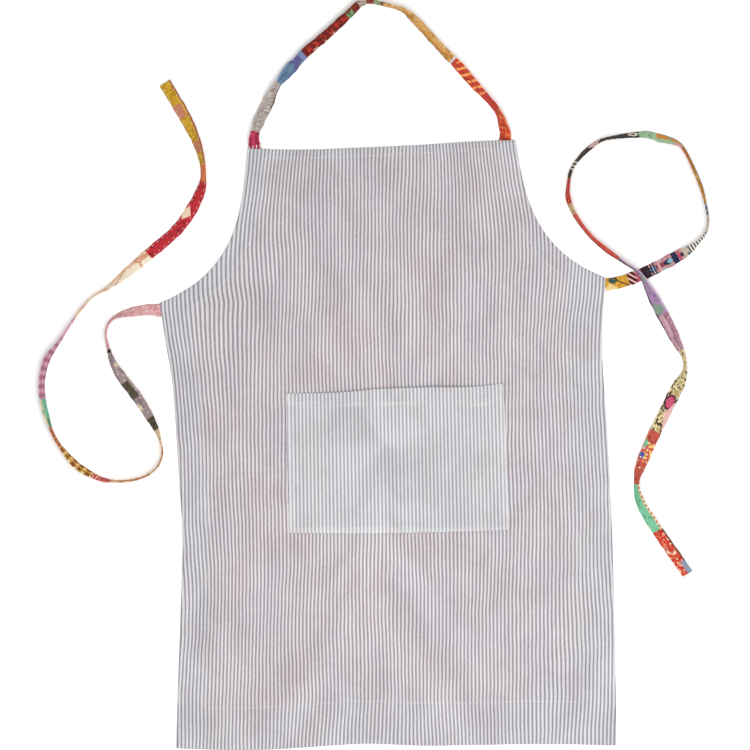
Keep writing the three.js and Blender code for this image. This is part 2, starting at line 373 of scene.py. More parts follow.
def stretch_of(start, end):
    """All of the cloth between two distances along the strap."""
    def mask(cloth):
        after = cloth.between(cloth.along, start - 0.4, start + 0.4)
        before = cloth.between(cloth.along, end + 0.4, end - 0.4)
        return cloth.math("MULTIPLY", after, before)
    return mask


def from_middle(cloth, along, across, length, width):
    """How far each place is from a blot's middle, in its half lengths and half widths."""
    a = cloth.math("DIVIDE", cloth.math("SUBTRACT", cloth.along, along), length / 2)
    b = cloth.math("DIVIDE", cloth.math("SUBTRACT", cloth.across, across), width / 2)
    return a, b


def patch_at(*blot):
    """One oval blot: its place along and across, its length and its width."""
    def mask(cloth):
        a, b = from_middle(cloth, *blot)
        square = cloth.math("ADD", cloth.math("MULTIPLY", a, a), cloth.math("MULTIPLY", b, b))
        return cloth.between(square, 1.25, 0.75)
    return mask


def diamond_at(*blot):
    """One blot with four straight sides."""
    def mask(cloth):
        a, b = from_middle(cloth, *blot)
        reach = cloth.math("ADD", cloth.math("ABSOLUTE", a), cloth.math("ABSOLUTE", b))
        return cloth.between(reach, 1.08, 0.92)
    return mask


def both(*prints):
    """Where all of these prints are."""
    def mask(cloth):
        made = prints[0](cloth)
        for one in prints[1:]:
            made = cloth.math("MULTIPLY", made, one(cloth))
        return made
    return mask


def strap_cloth(name, ground, prints):
    """The material of one patch of a strap."""
    cloth = Cloth(name, "strap")
    return cloth.finish(cloth.printed(ground, prints), STRAP_WRINKLES)


def thread_material(name, code):
    """The material of a sewing thread, a little darker between its fibres."""
    material = bpy.data.materials.new(name)
    material.use_nodes = True
    tree = material.node_tree
    shader = tree.nodes["Principled BSDF"]
    shader.inputs["Roughness"].default_value = 0.75
    place = tree.nodes.new("ShaderNodeTexCoord")
    fibres = tree.nodes.new("ShaderNodeTexNoise")
    fibres.inputs["Scale"].default_value = FIBRE_SCALE
    tree.links.new(place.outputs["Object"], fibres.inputs["Vector"])
    mix = tree.nodes.new("ShaderNodeMix")
    mix.data_type = "RGBA"
    mix.inputs[6].default_value = tint(code)
    mix.inputs[7].default_value = tuple(FIBRE_SHADE * part for part in tint(code)[:3]) + (1.0,)
    tree.links.new(fibres.outputs[0], mix.inputs[0])
    tree.links.new(mix.outputs[2], shader.inputs["Base Color"])
    bump = tree.nodes.new("ShaderNodeBump")
    bump.inputs["Distance"].default_value = 0.1 * MM
    tree.links.new(fibres.outputs[0], bump.inputs["Height"])
    tree.links.new(bump.outputs[0], shader.inputs["Normal"])
    return material


pale_thread = thread_material("pale_thread", "efeae0")
white_thread = thread_material("white_thread", "f4f4f2")

# ---------------------------------------------------------------- straps

STRAP_WIDTH = 0.017
STRAP_THICKNESS = 0.0024
ABOVE_TABLE = 0.00005    # how far the lowest points of a strap stay over the table

# Each station is x, y, the strap's roll about its own line in degrees (0 flat, 90 on its edge),
# and how far its lower edge is lifted where it crosses itself.
NECK_LOOP_ROUTE = [
    (-0.185, 0.4134, 0), (-0.186, 0.424, 34), (-0.183, 0.438, 46), (-0.177, 0.455, 14),
    (-0.168, 0.473, 10), (-0.161, 0.488, 41), (-0.152, 0.502, 64), (-0.138, 0.52, 24),
    (-0.126, 0.532, 44), (-0.113, 0.546, 42), (-0.089, 0.566, 46), (-0.065, 0.588, 50),
    (-0.051, 0.601, 55), (-0.042, 0.61, 60), (-0.032, 0.615, 72), (-0.021, 0.615, 80),
    (-0.004, 0.611, 82), (0.011, 0.607, 84), (0.022, 0.603, 75), (0.033, 0.594, 62),
    (0.047, 0.58, 56), (0.064, 0.561, 56), (0.081, 0.543, 53), (0.096, 0.528, 48),
    (0.11, 0.512, 46), (0.124, 0.496, 55), (0.138, 0.481, 65), (0.149, 0.468, 66),
    (0.156, 0.456, 60), (0.16, 0.443, 44), (0.163, 0.434, 30), (0.163, 0.4242, 0),
]
LEFT_TIE_ROUTE = [
    (-0.3178, 0.187, 0), (-0.331, 0.188, 22), (-0.348, 0.186, 36), (-0.363, 0.183, 50),
    (-0.375, 0.179, 68), (-0.385, 0.172, 78), (-0.39, 0.162, 81), (-0.391, 0.149, 83),
    (-0.383, 0.118, 60), (-0.37, 0.095, 34), (-0.345, 0.062, 30), (-0.324, 0.027, 57),
    (-0.316, 0.007, 82), (-0.313, -0.011, 84), (-0.319, -0.029, 85), (-0.334, -0.042, 85),
    (-0.357, -0.049, 85), (-0.382, -0.05, 83), (-0.403, -0.045, 71), (-0.432, -0.028, 60),
    (-0.455, -0.001, 82), (-0.467, 0.021, 85), (-0.475, 0.046, 71), (-0.48, 0.072, 68),
    (-0.479, 0.097, 69), (-0.472, 0.121, 66), (-0.455, 0.145, 88), (-0.43, 0.183, 102),
    (-0.411, 0.204, 100), (-0.389, 0.218, 109), (-0.361, 0.24, 145), (-0.332, 0.265, 162),
    (-0.295, 0.297, 160), (-0.274, 0.325, 166), (-0.26, 0.353, 143), (-0.256, 0.374, 117),
    (-0.259, 0.399, 121), (-0.268, 0.427, 139), (-0.285, 0.461, 168), (-0.31, 0.503, 170),
]
RIGHT_TIE_ROUTE = [
    (0.3046, 0.223, 0), (0.325, 0.227, 0), (0.35, 0.236, 0), (0.378, 0.249, 2),
    (0.404, 0.263, 20), (0.419, 0.272, 53), (0.431, 0.282, 75), (0.441, 0.295, 80),
    (0.444, 0.313, 77), (0.441, 0.332, 80), (0.433, 0.362, 70), (0.412, 0.408, 72),
    (0.398, 0.42, 57), (0.377, 0.426, 44), (0.354, 0.431, 54), (0.303, 0.425, 77),
    (0.282, 0.414, 69), (0.266, 0.399, 76), (0.254, 0.381, 81), (0.25, 0.36, 81),
    (0.25, 0.342, 73), (0.26, 0.318, 78), (0.281, 0.29, 80), (0.304, 0.27, 75, 0.0012),
    (0.328, 0.253, 84, 0.003), (0.348, 0.239, 82, 0.0034), (0.361, 0.218, 58, 0.003),
    (0.375, 0.193, 20, 0.0014), (0.39, 0.165, 26), (0.402, 0.14, 54), (0.411, 0.12, 80),
    (0.411, 0.1, 72), (0.4, 0.076, 8), (0.384, 0.044, 2), (0.367, 0.01, 6),
    (0.352, -0.025, 30), (0.345, -0.049, 71), (0.348, -0.073, 55), (0.363, -0.102, 34),
    (0.416, -0.179, 20),
]

# The patches from the root on: name, length in millimetres, record slot, ground colour, and the
# prints over it, each a colour and where it is; two of them are painted shade, noted where they stand.
NECK_PATCHES = [
    ("crimson", 23, "crimson_print", "c03a5c", [
        ("962844", blotches(6, 0.36, (0.3, 1, 1))), ("d9687f", spots(5.5, 0.22)),
        ("f3dfdc", both(lengthwise(5, 0.26), stretch_of(-3, 4))),
    ]),
    ("grey_print", 76, "grey_print", "b0a49e", [
        ("8f837f", bands(6.2, 0.34, 0.9, 30)), ("cbc0b8", bands(6.2, 0.24, 0.9, 30, 3)),
        ("bfb4aa", left_of(6.6)), ("6f6562", both(right_of(-5.4), stretch_of(62, 99))),
    ]),
    ("blue", 54, "blue_cloth", "668299", [
        ("527090", blotches(8, 0.45, (0.4, 1, 1))), ("8297b8", left_of(6.2)),
        ("5f5b8c", both(blotches(12, 0.6), stretch_of(128, 146))), ("7a88b8", stretch_of(146, 153)),
    ]),
    ("dark_red", 80, "dark_red_print", "7c221c", [
        ("bb3628", both(bands(13, 0.55, 0.25), lengthwise(40, 0.24, -20))),
        ("5c1612", blotches(5, 0.38)), ("cfae94", both(spots(9, 0.26), right_of(-4.5))),
    ]),
    ("green", 11, "green_cloth", "7c9b68", [
        ("4f6a42", blotches(5, 0.4)), ("703528", left_of(4)), ("d3c79c", spots(7, 0.2)),
    ]),
    ("red", 11, "dark_red_print", "84291f", [("5a1a15", blotches(4, 0.4)), ("b0452f", spots(6, 0.25))]),
    ("cream", 12, "cream_print", "c4b3a0", [
        ("2c2520", bands(11, 0.26, 1.3, 0, 250)), ("8d6a58", both(blotches(5, 0.4), left_of(0))),
    ]),
    ("red_and_green", 20, "red_and_green_print", "8c2f26", [
        ("74966a", stretch_of(277, 290)), ("cdb98a", both(blotches(4, 0.3), stretch_of(277, 290))),
    ]),
    ("ochre", 132, "ochre_cloth", "d69e52", [
        ("bd8438", blotches(9, 0.38, (0.5, 1, 1))), ("e6bf7e", both(blotches(5, 0.3), left_of(1))),
        # 7a4c26 along the strap's right edge is painted shade, not a print.
        ("7a4c26", right_of(-6.6)), ("7a4a2c", stretch_of(286, 291)),
        ("d9cfd2", stretch_of(416, 421)),
    ]),
    ("orange_stripe", 90, "orange_stripe", "cd452e", [
        ("fba75e", both(bands(11.5, 0.36, -0.45, 0, 2), stretch_of(424, 482))),
        ("a8362a", both(blotches(6, 0.35), right_of(2))), ("c03a30", stretch_of(482, 512)),
    ]),
    ("orange_print", math.inf, "orange_print", "d0482e", [
        ("a03222", blotches(5, 0.4)), ("ef9058", blotches(4.2, 0.26)), ("e07a4a", left_of(7.0)),
    ]),
]
LEFT_TIE_PATCHES = [
    ("salmon", 112, "salmon_print", "e2abab", [
        ("cc8c92", blotches(4.4, 0.30)), ("f5dcd4", spots(5.4, 0.28, (1, 1.4, 1))),
        ("cf9293", right_of(-6.9)),
    ]),
    ("mauve_dots", 131, "mauve_dots", "a48f8e", [
        ("8a777a", blotches(9, 0.35, (0.4, 1, 1))), ("efe6d8", spots(5.2, 0.2)),
        ("544c3c", both(stretch_of(163, 190), right_of(5))), ("49442f", stretch_of(224, 243)),
        ("7a7460", both(spots(4.6, 0.2), stretch_of(163, 190))),
        ("ecd9b2", diamond_at(136, 5, 9, 8)), ("ecd9b2", diamond_at(205, -5, 11, 8)),
        ("1f1a1d", stretch_of(111, 117)),
    ]),
    ("tan", 125, "tan_cloth", "dfc096", [
        ("cf8460", both(blotches(16, 0.45, (0.4, 1, 1)), left_of(-2))),
        ("7c6c3e", both(bands(19, 0.14), left_of(2))), ("efd2a6", right_of(-4)),
    ]),
    ("coral", 27, "coral_cloth", "cf5f55", [
        ("f0b8a4", both(bands(5, 0.5), stretch_of(383, 396))), ("a83a38", blotches(5, 0.3)),
    ]),
    ("ochre_print", 60, "ochre_print", "cc9638", [
        ("2c2218", both(bands(12, 0.42), lengthwise(9, 0.5))),
        ("f0ddb4", both(bands(12, 0.3, 0, 0, 6), lengthwise(9, 0.45, 3))),
        ("8a3f2a", both(bands(24, 0.3, 0, 0, 5), lengthwise(12, 0.4))),
    ]),
    ("orange", 30, "orange_print", "c56e3c", [("9c4a2a", bands(7, 0.3)), ("e3b27c", spots(6, 0.25))]),
    ("mint", 41, "mint_cloth", "78bb9b", [
        ("3b6a50", stretch_of(484, 498)), ("efc79c", left_of(6.2)), ("5a9c7e", blotches(8, 0.3)),
    ]),
    ("pink_plaid", 125, "pink_plaid", "cc94a9", [
        ("a86a88", bands(12.5, 0.4)), ("dcb0c0", bands(12.5, 0.12, 0, 0, 6)),
        ("95506f", both(lengthwise(9, 0.2), stretch_of(526, 618))),
        ("e09cbc", stretch_of(620, 651)), ("f3d9e2", both(spots(6, 0.3), stretch_of(620, 651))),
    ]),
    ("cream_veined", 136, "cream_veined", "fdeed6", [
        ("f3cba6", blotches(14, 0.3, (0.4, 1, 1))), ("cf7a5c", veins(19, 0.028, (0.45, 1, 1))),
        ("e9a98a", right_of(-6.6)),
    ]),
    ("crimson", 129, "crimson_cloth", "c42e38", [
        ("a02430", blotches(8, 0.3)), ("f3d6b8", diamond_at(866, -4, 22, 16)),
    ]),
    ("orange_turn", 24, "orange_print", "d4703e", [("e9a06a", blotches(5, 0.3))]),
    ("mustard_and_rose", math.inf, "mustard_and_rose", "d0a42c", [
        ("b88a22", blotches(5, 0.4)), ("e3c45c", spots(5, 0.2)),
        ("c07a58", both(stretch_of(958, 974), blotches(20, 0.8))),
        ("c98266", both(stretch_of(1012, 1032), right_of(4))), ("a55a3c", left_of(6.6)),
    ]),
]
RIGHT_TIE_PATCHES = [
    ("ochre_and_teal", 30, "ochre_and_teal", "dba53e", [
        ("bf8a2c", blotches(6, 0.35)), ("f0cf92", diamond_at(4, -7, 20, 16)),
        ("3a5552", patch_at(9, 4.5, 13, 9)), ("5a3a20", bands(40, 0.07, 1.3, 0, -1)),
    ]),
    ("pink_print", 21, "pink_print", "bf5a72", [
        ("1f1a1c", both(bands(8, 0.42, 0.9), stretch_of(30, 42))),
        ("ead8ba", both(bands(8, 0.25, 0.9, 0, 4), stretch_of(30, 42))),
        ("d88a96", both(blotches(4, 0.3), stretch_of(42, 52))),
    ]),
    ("navy", 12, "navy_cloth", "352830", [("4a4a6a", spots(4, 0.2))]),
    ("geometric", 52, "geometric_print", "8c3f52", [
        ("26294a", both(bands(26, 0.62, 1.5), bands(26, 0.62, -1.5))),
        ("7fb0bc", both(bands(26, 0.44, 1.5, 0, 3.5), bands(26, 0.44, -1.5, 0, 3.5))),
        ("2a3350", both(bands(26, 0.14, 1.5, 0, 8), bands(26, 0.14, -1.5, 0, 8))),
        ("e8d3c2", lengthwise(40, 0.028, -14.4)), ("e8d3c2", lengthwise(40, 0.028, -25.6)),
        ("d27a84", lengthwise(40, 0.03, -12.6)), ("d9a0a0", bands(26, 0.13, 0, 0, 12)),
        ("26294a", stretch_of(98, 106)), ("26294a", both(bands(4, 0.5), stretch_of(63, 72))),
        ("c0506a", stretch_of(107, 110)),
    ]),
    ("beige_dots", 68, "beige_dots", "c3b7a2", [
        ("a99f90", blotches(6, 0.35)), ("3a6a72", both(right_of(-3), bands(9, 0.4), stretch_of(115, 124))),
        ("f4efe4", stretch_of(124, 158)), ("221d20", both(stretch_of(124, 158), bands(4.4, 0.5))),
    ]),
    ("teal", 16, "teal_cloth", "4a6a74", [
        ("24344c", bands(7, 0.34, 0.8)), ("b4b8b4", bands(7, 0.14, 0.8, 0, 3.5)),
    ]),
    ("mustard", 85, "mustard_cloth", "bd8428", [
        # 5c3c20 over the strap's right part is painted shade on the side turned from the light, not a
        # print.
        ("5c3c20", right_of(-2.5)), ("a9702a", both(blotches(8, 0.35), left_of(-2.5))),
        ("b8682c", both(stretch_of(246, 284), left_of(3))), ("e9c682", diamond_at(238, 4, 10, 9)),
    ]),
    ("orange_and_mint", 64, "orange_and_mint", "a8c8a2", [
        ("e08f34", both(right_of(1.5), stretch_of(284, 324))), ("88ac86", blotches(7, 0.3)),
        ("7a4a24", both(right_of(-6.6), stretch_of(284, 322))), ("dfa6b4", diamond_at(290, 7, 18, 12)),
    ]),
    ("black_print", 124, "black_print", "2f2722", [
        ("5a4438", blotches(6, 0.3)), ("eadfc8", patch_at(356, 0, 14, 12)),
        ("4a3a34", patch_at(356, 0, 6, 5)),
        ("dcb8b2", diamond_at(412, 0, 20, 30)), ("e9e0d0", both(bands(5.5, 0.42), stretch_of(444, 460))),
        ("9c6a50", right_of(-7.2)),
    ]),
    ("red_print", 36, "red_print", "c8402c", [("93291f", blotches(5, 0.35)), ("e88a5c", spots(7, 0.2))]),
    ("pale_gold", 16, "cream_print", "cfae82", [("9a7c50", blotches(4, 0.35))]),
    ("red", 88, "red_cloth", "cc4230", [
        ("97281f", right_of(-1.0)), ("dc6a50", both(blotches(7, 0.3), left_of(0))),
    ]),
    ("purple", 102, "purple_cloth", "a183a6", [
        ("8c6f94", blotches(9, 0.3)), ("54473f", stretch_of(612, 638)),
        ("4f6a4c", both(stretch_of(622, 640), blotches(6, 0.5))), ("74a078", diamond_at(656, 3, 16, 9)),
        ("573f52", right_of(-6.0)), ("7f9284", diamond_at(704, -2, 20, 22)), ("c3a5c4", left_of(6.4)),
    ]),
    ("dusky_mauve", 55, "dusky_mauve", "ac7c8e", [
        ("c9a3ac", lengthwise(40, 0.12, -21)), ("966a7a", blotches(8, 0.25, (0.4, 1, 1))),
        ("5f4450", right_of(-6.6)),
    ]),
    ("beige_veined", 124, "beige_veined", "dccb9c", [
        ("3c3028", both(blotches(3.4, 0.36, (0.7, 1, 1)), veins(9, 0.30))), ("b59d6c", blotches(9, 0.22)),
        ("3a1f2c", patch_at(848, 0, 23, 16)), ("bb3f66", patch_at(848, 0, 18, 11)),
        ("e0708c", both(patch_at(848, 0, 15, 9), bands(4, 0.35, 0.8))),
        ("e2b2ae", diamond_at(866, 7, 44, 14)),
    ]),
    ("red_and_blue", 79, "red_and_blue", "c25648", [
        ("a04038", blotches(8, 0.3)), ("6fb795", diamond_at(914, -6, 16, 10)),
        ("3f5a9c", patch_at(931, -4, 9, 8)),
        ("f0c468", both(blotches(4, 0.45), both(left_of(0), stretch_of(910, 940)))),
        ("f0dfc0", both(spots(6, 0.24), stretch_of(905, 950))), ("dca58c", right_of(-7.0)),
    ]),
    ("mint", 72, "mint_cloth", "7cc39c", [
        ("5fa582", blotches(9, 0.25)), ("efd6ac", left_of(5.8)),
        ("c8562e", both(left_of(6.4), bands(7, 0.5))),
    ]),
    ("red_flowers", math.inf, "red_flowers", "cf4636", [
        ("f2d3ae", blotches(6.5, 0.36)), ("e88f68", blotches(4.6, 0.22)), ("a82a22", veins(11, 0.04)),
        ("54301f", left_of(7.0)), ("8796ac", both(stretch_of(1098, 1130), left_of(1.5))),
    ]),
]
# The patches whose running stitches are pale; on the others the thread matches the cloth.
PALE_STITCHED = {
    "neck_loop": {"ochre"},
    "left_tie": {"crimson", "mustard_and_rose"},
    "right_tie": {"dusky_mauve"},
}

SECTION_POINTS = 11      # across one face of a strap
RING_STEP = 0.0024       # between the rings of points along a strap
SEAM_ROWS = (-0.68, 0.68)   # rows of running stitches, in half widths
ROW_DIP = 0.28           # how far a row pulls the faces in, as a share of the thickness,
ROW_DIP_WIDTH = 0.13     # and over how much of the half width
RUNNING_PITCH = 0.0086
RUNNING_HALF = 0.0021
RUNNING_RADIUS = 0.00031
RUNNING_SURFACE = 0.74   # how high the stitches lie, in half thicknesses of the strap
PUCKER = 0.10            # how much the thickness changes from one stitch to the next
JOIN_DIP = 0.35          # how far the seam between two patches is pressed in,
JOIN_DIP_WIDTH = 0.0009  # and over what length
END_THICKNESS = 0.45     # how thick a cut end is, as a share of the rest,
END_TAPER = 0.004        # and how far from the end the rest begins
# Waves along both of a strap's edges: share of the half width, length, and phase.
EDGE_WAVES = [(0.026, 0.031, 1.0), (0.030, 0.0187, 2.0), (0.014, 0.0113, 0.0)]


def patch_seams(patches):
    """The distances from a strap's root to the seams between its patches."""
    return np.cumsum([length * MM for _, length, _, _, _ in patches[:-1]])


class Strap:
    """A strap's centreline, with the way that its width faces, from its root to its far end."""

    def __init__(self, stations):
        rows = [tuple(s) + (0.0,) * (4 - len(s)) for s in stations]
        x, y, roll, lift = smooth_line(rows, 40 * len(rows)).T
        roll = np.radians(roll)
        edge_height = np.abs(np.sin(roll)) * STRAP_WIDTH / 2
        face_height = np.abs(np.cos(roll)) * STRAP_THICKNESS / 2
        z = np.maximum(lift, 0) + edge_height + face_height
        self.line = np.stack([x, y, z], axis=1)
        self.roll = roll
        self.along = distance_along(self.line)
        self.length = self.along[-1]

    def frame(self, distances):
        """Places on the centreline, and its tangents, sides and normals there."""
        place = at_distances(self.line, distances)
        tangent = unit(
            at_distances(self.line, distances + MM) - at_distances(self.line, distances - MM))
        roll = np.interp(distances, self.along, self.roll)
        level = unit(np.stack([-tangent[:, 1], tangent[:, 0], 0 * roll], axis=1))
        side = level * np.cos(roll)[:, None]
        side[:, 2] = np.sin(roll)
        side = unit(side - tangent * (side * tangent).sum(1, keepdims=True))
        return place, tangent, side, np.cross(tangent, side)

    def stretch(self, name, start, end, patches, materials):
        """The ribbon between two distances along the strap, and the line through its middle."""
        seams = patch_seams(patches)
        even = np.linspace(start, end, max(3, round((end - start) / RING_STEP)))
        near_seam = (np.abs(even[:, None] - seams) < 0.45 * RING_STEP).any(axis=1)
        own = seams[(seams > start + MM) & (seams < end - MM)]
        distances = np.sort(np.concatenate([even[~near_seam], own]))
        place, tangent, side, normal = self.frame(np.clip(distances, 0, self.length))
        place += tangent * (distances - np.clip(distances, 0, self.length))[:, None]

        across = np.sin(np.linspace(-math.pi / 2, math.pi / 2, SECTION_POINTS))
        dips = sum(np.exp(-((across - row) / ROW_DIP_WIDTH) ** 2) for row in SEAM_ROWS)
        bulge = np.sqrt(1 - np.abs(across) ** 7) * (1 - ROW_DIP * dips)
        pucker = 1 + PUCKER * np.sin(distances * 2 * math.pi / RUNNING_PITCH)
        at_seam = np.exp(-((distances[:, None] - seams) / JOIN_DIP_WIDTH) ** 2).sum(axis=1)
        half = STRAP_THICKNESS / 2 * pucker * (1 - JOIN_DIP * at_seam)
        free_end = self.length - distances if end > self.length - MM else np.inf
        from_end = smoothstep(0, END_TAPER, np.minimum(distances + END_TAPER / 2, free_end))
        half = half * (END_THICKNESS + (1 - END_THICKNESS) * from_end)
        edge_wander = 1 + sum(
            share * np.sin(distances * 2 * math.pi / length + phase)
            for share, length, phase in EDGE_WAVES)

        section = [(a, b) for a, b in zip(across, bulge)]
        section += [(a, -b) for a, b in zip(across[-2:0:-1], bulge[-2:0:-1])]
        points = []
        places = []
        for a, b in section:
            out = side * (a * STRAP_WIDTH / 2 * edge_wander)[:, None]
            points.append(place + out + normal * (b * half)[:, None])
            half_mm = np.full(len(distances), a * STRAP_WIDTH / 2 / MM)
            places.append(np.stack([distances / MM, half_mm, np.full(len(half_mm), np.sign(b))], axis=1))
        points = np.stack(points, axis=1).reshape(-1, 3)
        points[:, 2] = np.maximum(points[:, 2], ABOVE_TABLE)
        count = len(section)
        faces = grid_faces(len(distances), count, closed=True)
        middles = (distances[:-1] + distances[1:]) / 2
        patch_of = np.searchsorted(seams, middles)
        face_materials = [int(p) for p in patch_of for _ in range(count)]
        last = (len(distances) - 1) * count
        for first, patch, turned in ((0, patch_of[0], True), (last, patch_of[-1], False)):
            for k in range(SECTION_POINTS - 1):
                a, b = first + k, first + k + 1
                c, d = first + (count - k - 1) % count, first + (count - k) % count
                if k == 0:
                    quad = (a, b, c)
                elif k == SECTION_POINTS - 2:
                    quad = (a, b, d)
                else:
                    quad = (a, b, c, d)
                faces.append(quad if turned else tuple(reversed(quad)))
                face_materials.append(int(patch))
        used = sorted(set(face_materials))
        renumber = {patch: i for i, patch in enumerate(used)}
        piece = make_piece(
            name, points, [tuple(reversed(f)) for f in faces], [materials[p] for p in used],
            [renumber[p] for p in face_materials],
        )
        give_vector(piece, "strap", np.stack(places, axis=1).reshape(-1, 3))
        return piece, place

    def running_stitches(self, name, start, end, patches, threads):
        """Rows of running stitches on both faces, in the thread of the patch that they are on.
        The second row is a little out of step with the first, and so are the faces."""
        distances = np.arange(start + RUNNING_PITCH / 2, end - RUNNING_PITCH / 3, RUNNING_PITCH)
        seams = patch_seams(patches)
        surface = STRAP_THICKNESS / 2 * RUNNING_SURFACE
        centres, directions, ups, patch_of = [], [], [], []
        for k, row in enumerate(SEAM_ROWS):
            for face in (1, -1):
                shifted = distances + RUNNING_PITCH * 0.31 * k + RUNNING_PITCH / 2 * (face < 0)
                shifted = shifted[shifted < end - RUNNING_HALF]
                place, tangent, side, normal = self.frame(shifted)
                out = side * (row * STRAP_WIDTH / 2) + normal * (face * surface)
                centres.append(place + out)
                directions.append(tangent)
                ups.append(normal * face)
                patch_of.append(np.searchsorted(seams, shifted))
        return stitches(
            name, np.vstack(centres), np.vstack(directions), np.vstack(ups), RUNNING_HALF,
            RUNNING_RADIUS, threads, np.concatenate(patch_of))


def strap_materials(strap_name, patches):
    """The material of each patch of a strap."""
    return [
        strap_cloth(f"{strap_name}_{patch_name}", ground, prints)
        for patch_name, _, _, ground, prints in patches
    ]


def strap_threads(strap_name, patches):
    """The thread that each patch of a strap is stitched with."""
    made = []
    for patch_name, _, _, ground, _ in patches:
        if patch_name in PALE_STITCHED[strap_name]:
            made.append(pale_thread)
        else:
            made.append(thread_material(f"{strap_name}_{patch_name}_thread", ground))
    return made


def cad_patches(strap_name, patches):
    """The names of a strap's patches in the CAD model."""
    return [f"{strap_name}_{patch[0]}" for patch in patches]


ROOT_IN_HEM = 0.003      # how far a strap's end runs on into the hem that it is sewn into
NECK_STITCHES_FROM_END = 0.004
TIE_STITCHES_FROM_END = 0.003

# The neck loop is sewn in at both of its ends.
neck_strap = Strap(NECK_LOOP_ROUTE)
neck_materials = strap_materials("neck_loop", NECK_PATCHES)
neck_loop, neck_path = neck_strap.stretch(
    "neck_loop", -ROOT_IN_HEM, neck_strap.length + ROOT_IN_HEM, NECK_PATCHES, neck_materials)
neck_stitches = neck_strap.running_stitches(
    "neck_loop_stitches", NECK_STITCHES_FROM_END, neck_strap.length - NECK_STITCHES_FROM_END,
    NECK_PATCHES, strap_threads("neck_loop", NECK_PATCHES))
for piece in (neck_loop, neck_stitches):
    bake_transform(piece)
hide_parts(*cad_patches("neck_loop", NECK_PATCHES))
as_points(neck_path)

ROOT_TAB = 0.026         # the first stretch of a tie, a piece of its own


def make_tie(body, stations, patches):
    """A waist tie, whose first stretch is a piece of its own."""
    strap = Strap(stations)
    materials = strap_materials(body, patches)
    tab, _ = strap.stretch(f"{body}_root", -ROOT_IN_HEM, ROOT_TAB, patches, materials)
    ribbon, path = strap.stretch(body, ROOT_TAB, strap.length, patches, materials)
    threads = strap_threads(body, patches)
    tab_stitches = strap.running_stitches(
        f"{body}_root_stitches", TIE_STITCHES_FROM_END, ROOT_TAB, patches, threads)
    ribbon_stitches = strap.running_stitches(
        f"{body}_stitches", ROOT_TAB, strap.length - TIE_STITCHES_FROM_END, patches, threads)
    root = strap.line[0]
    bend_end = strap.frame(np.array([ROOT_TAB]))[0][0]
    for piece in (tab, tab_stitches):
        tuple(root)
        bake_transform(piece)
    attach(ribbon, body)
    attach(ribbon_stitches, body)
    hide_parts(*cad_patches(body, patches))
    tuple(root)
    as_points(path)


make_tie("left_tie", LEFT_TIE_ROUTE, LEFT_TIE_PATCHES)
make_tie("right_tie", RIGHT_TIE_ROUTE, RIGHT_TIE_PATCHES)

# ---------------------------------------------------------------- the body's plan

COLUMNS = 160            # of the front's grid of points, across the body
SIDE_ROWS = 158          # rows of it up to the waist,
ARMHOLE_ROWS = 66        # and from there to the neck
FINE = 500               # points on a line before it is spaced evenly

NECK_LEFT = (-0.195, 0.412)
NECK_RIGHT = (0.177, 0.4235)
WAIST_LEFT = (-0.317, 0.197)
WAIST_RIGHT = (0.302, 0.232)
HEM_LEFT = (-0.2935, -0.421)
HEM_RIGHT = (0.317, -0.417)

# The body's edges, clockwise, so that the cloth is on each one's right.
TOP_POINTS = [NECK_LEFT, (-0.14, 0.41), (-0.06, 0.4115), (0.04, 0.4165), (0.125, 0.4215), NECK_RIGHT]
BOTTOM_POINTS = [
    HEM_RIGHT, (0.2, -0.415), (0.06, -0.4175), (-0.04, -0.415), (-0.18, -0.4235), HEM_LEFT,
]
RIGHT_POINTS = [
    WAIST_RIGHT, (0.2975, 0.165), (0.298, 0.11), (0.304, 0.027), (0.3105, -0.105), (0.3135, -0.215),
    (0.3165, -0.36), HEM_RIGHT,
]
LEFT_POINTS = [
    HEM_LEFT, (-0.291, -0.33), (-0.286, -0.19), (-0.2848, -0.125), (-0.2895, -0.05), (-0.298, 0.075),
    (-0.308, 0.14), WAIST_LEFT,
]
EDGES = {
    "top": evenly(smooth_line(TOP_POINTS, FINE, clamped=True), COLUMNS),
    "armhole_right": evenly(
        bezier([NECK_RIGHT, (0.188, 0.35), (0.2, 0.272), WAIST_RIGHT], FINE), ARMHOLE_ROWS),
    "side_right": evenly(smooth_line(RIGHT_POINTS, FINE), SIDE_ROWS),
    "bottom": evenly(smooth_line(BOTTOM_POINTS, FINE, clamped=True), COLUMNS),
    "side_left": evenly(smooth_line(LEFT_POINTS, FINE), SIDE_ROWS),
    "armhole_left": evenly(
        bezier([WAIST_LEFT, (-0.21, 0.24), (-0.202, 0.318), NECK_LEFT], FINE), ARMHOLE_ROWS),
}
EDGE_NAMES = list(EDGES)
EDGE_LINES = list(EDGES.values())
HEM_DEPTH = {
    "top": 0.014, "armhole_right": 0.028, "side_right": 0.050,
    "bottom": 0.062, "side_left": 0.038, "armhole_left": 0.028,
}
ARMHOLE_TURNING = 0.009  # how far the striped cloth itself turns under at an armhole
BACKING_UNDER_HEM = 0.008
SEAM_TO_HEM_EDGE = 0.003
RUN_ON = 0.1             # how far a line is run on, so that it crosses its neighbours


def inward(line):
    """The unit vectors to the right of a line in plan."""
    ahead = unit(np.gradient(line, axis=0))
    return np.stack([ahead[:, 1], -ahead[:, 0]], axis=1)


def beside(line, depth):
    """The line moved in by depth, and run on straight at both of its ends."""
    moved = line + inward(line) * depth
    ahead = unit(np.gradient(line, axis=0))
    return np.vstack([moved[0] - ahead[0] * RUN_ON, moved, moved[-1] + ahead[-1] * RUN_ON])


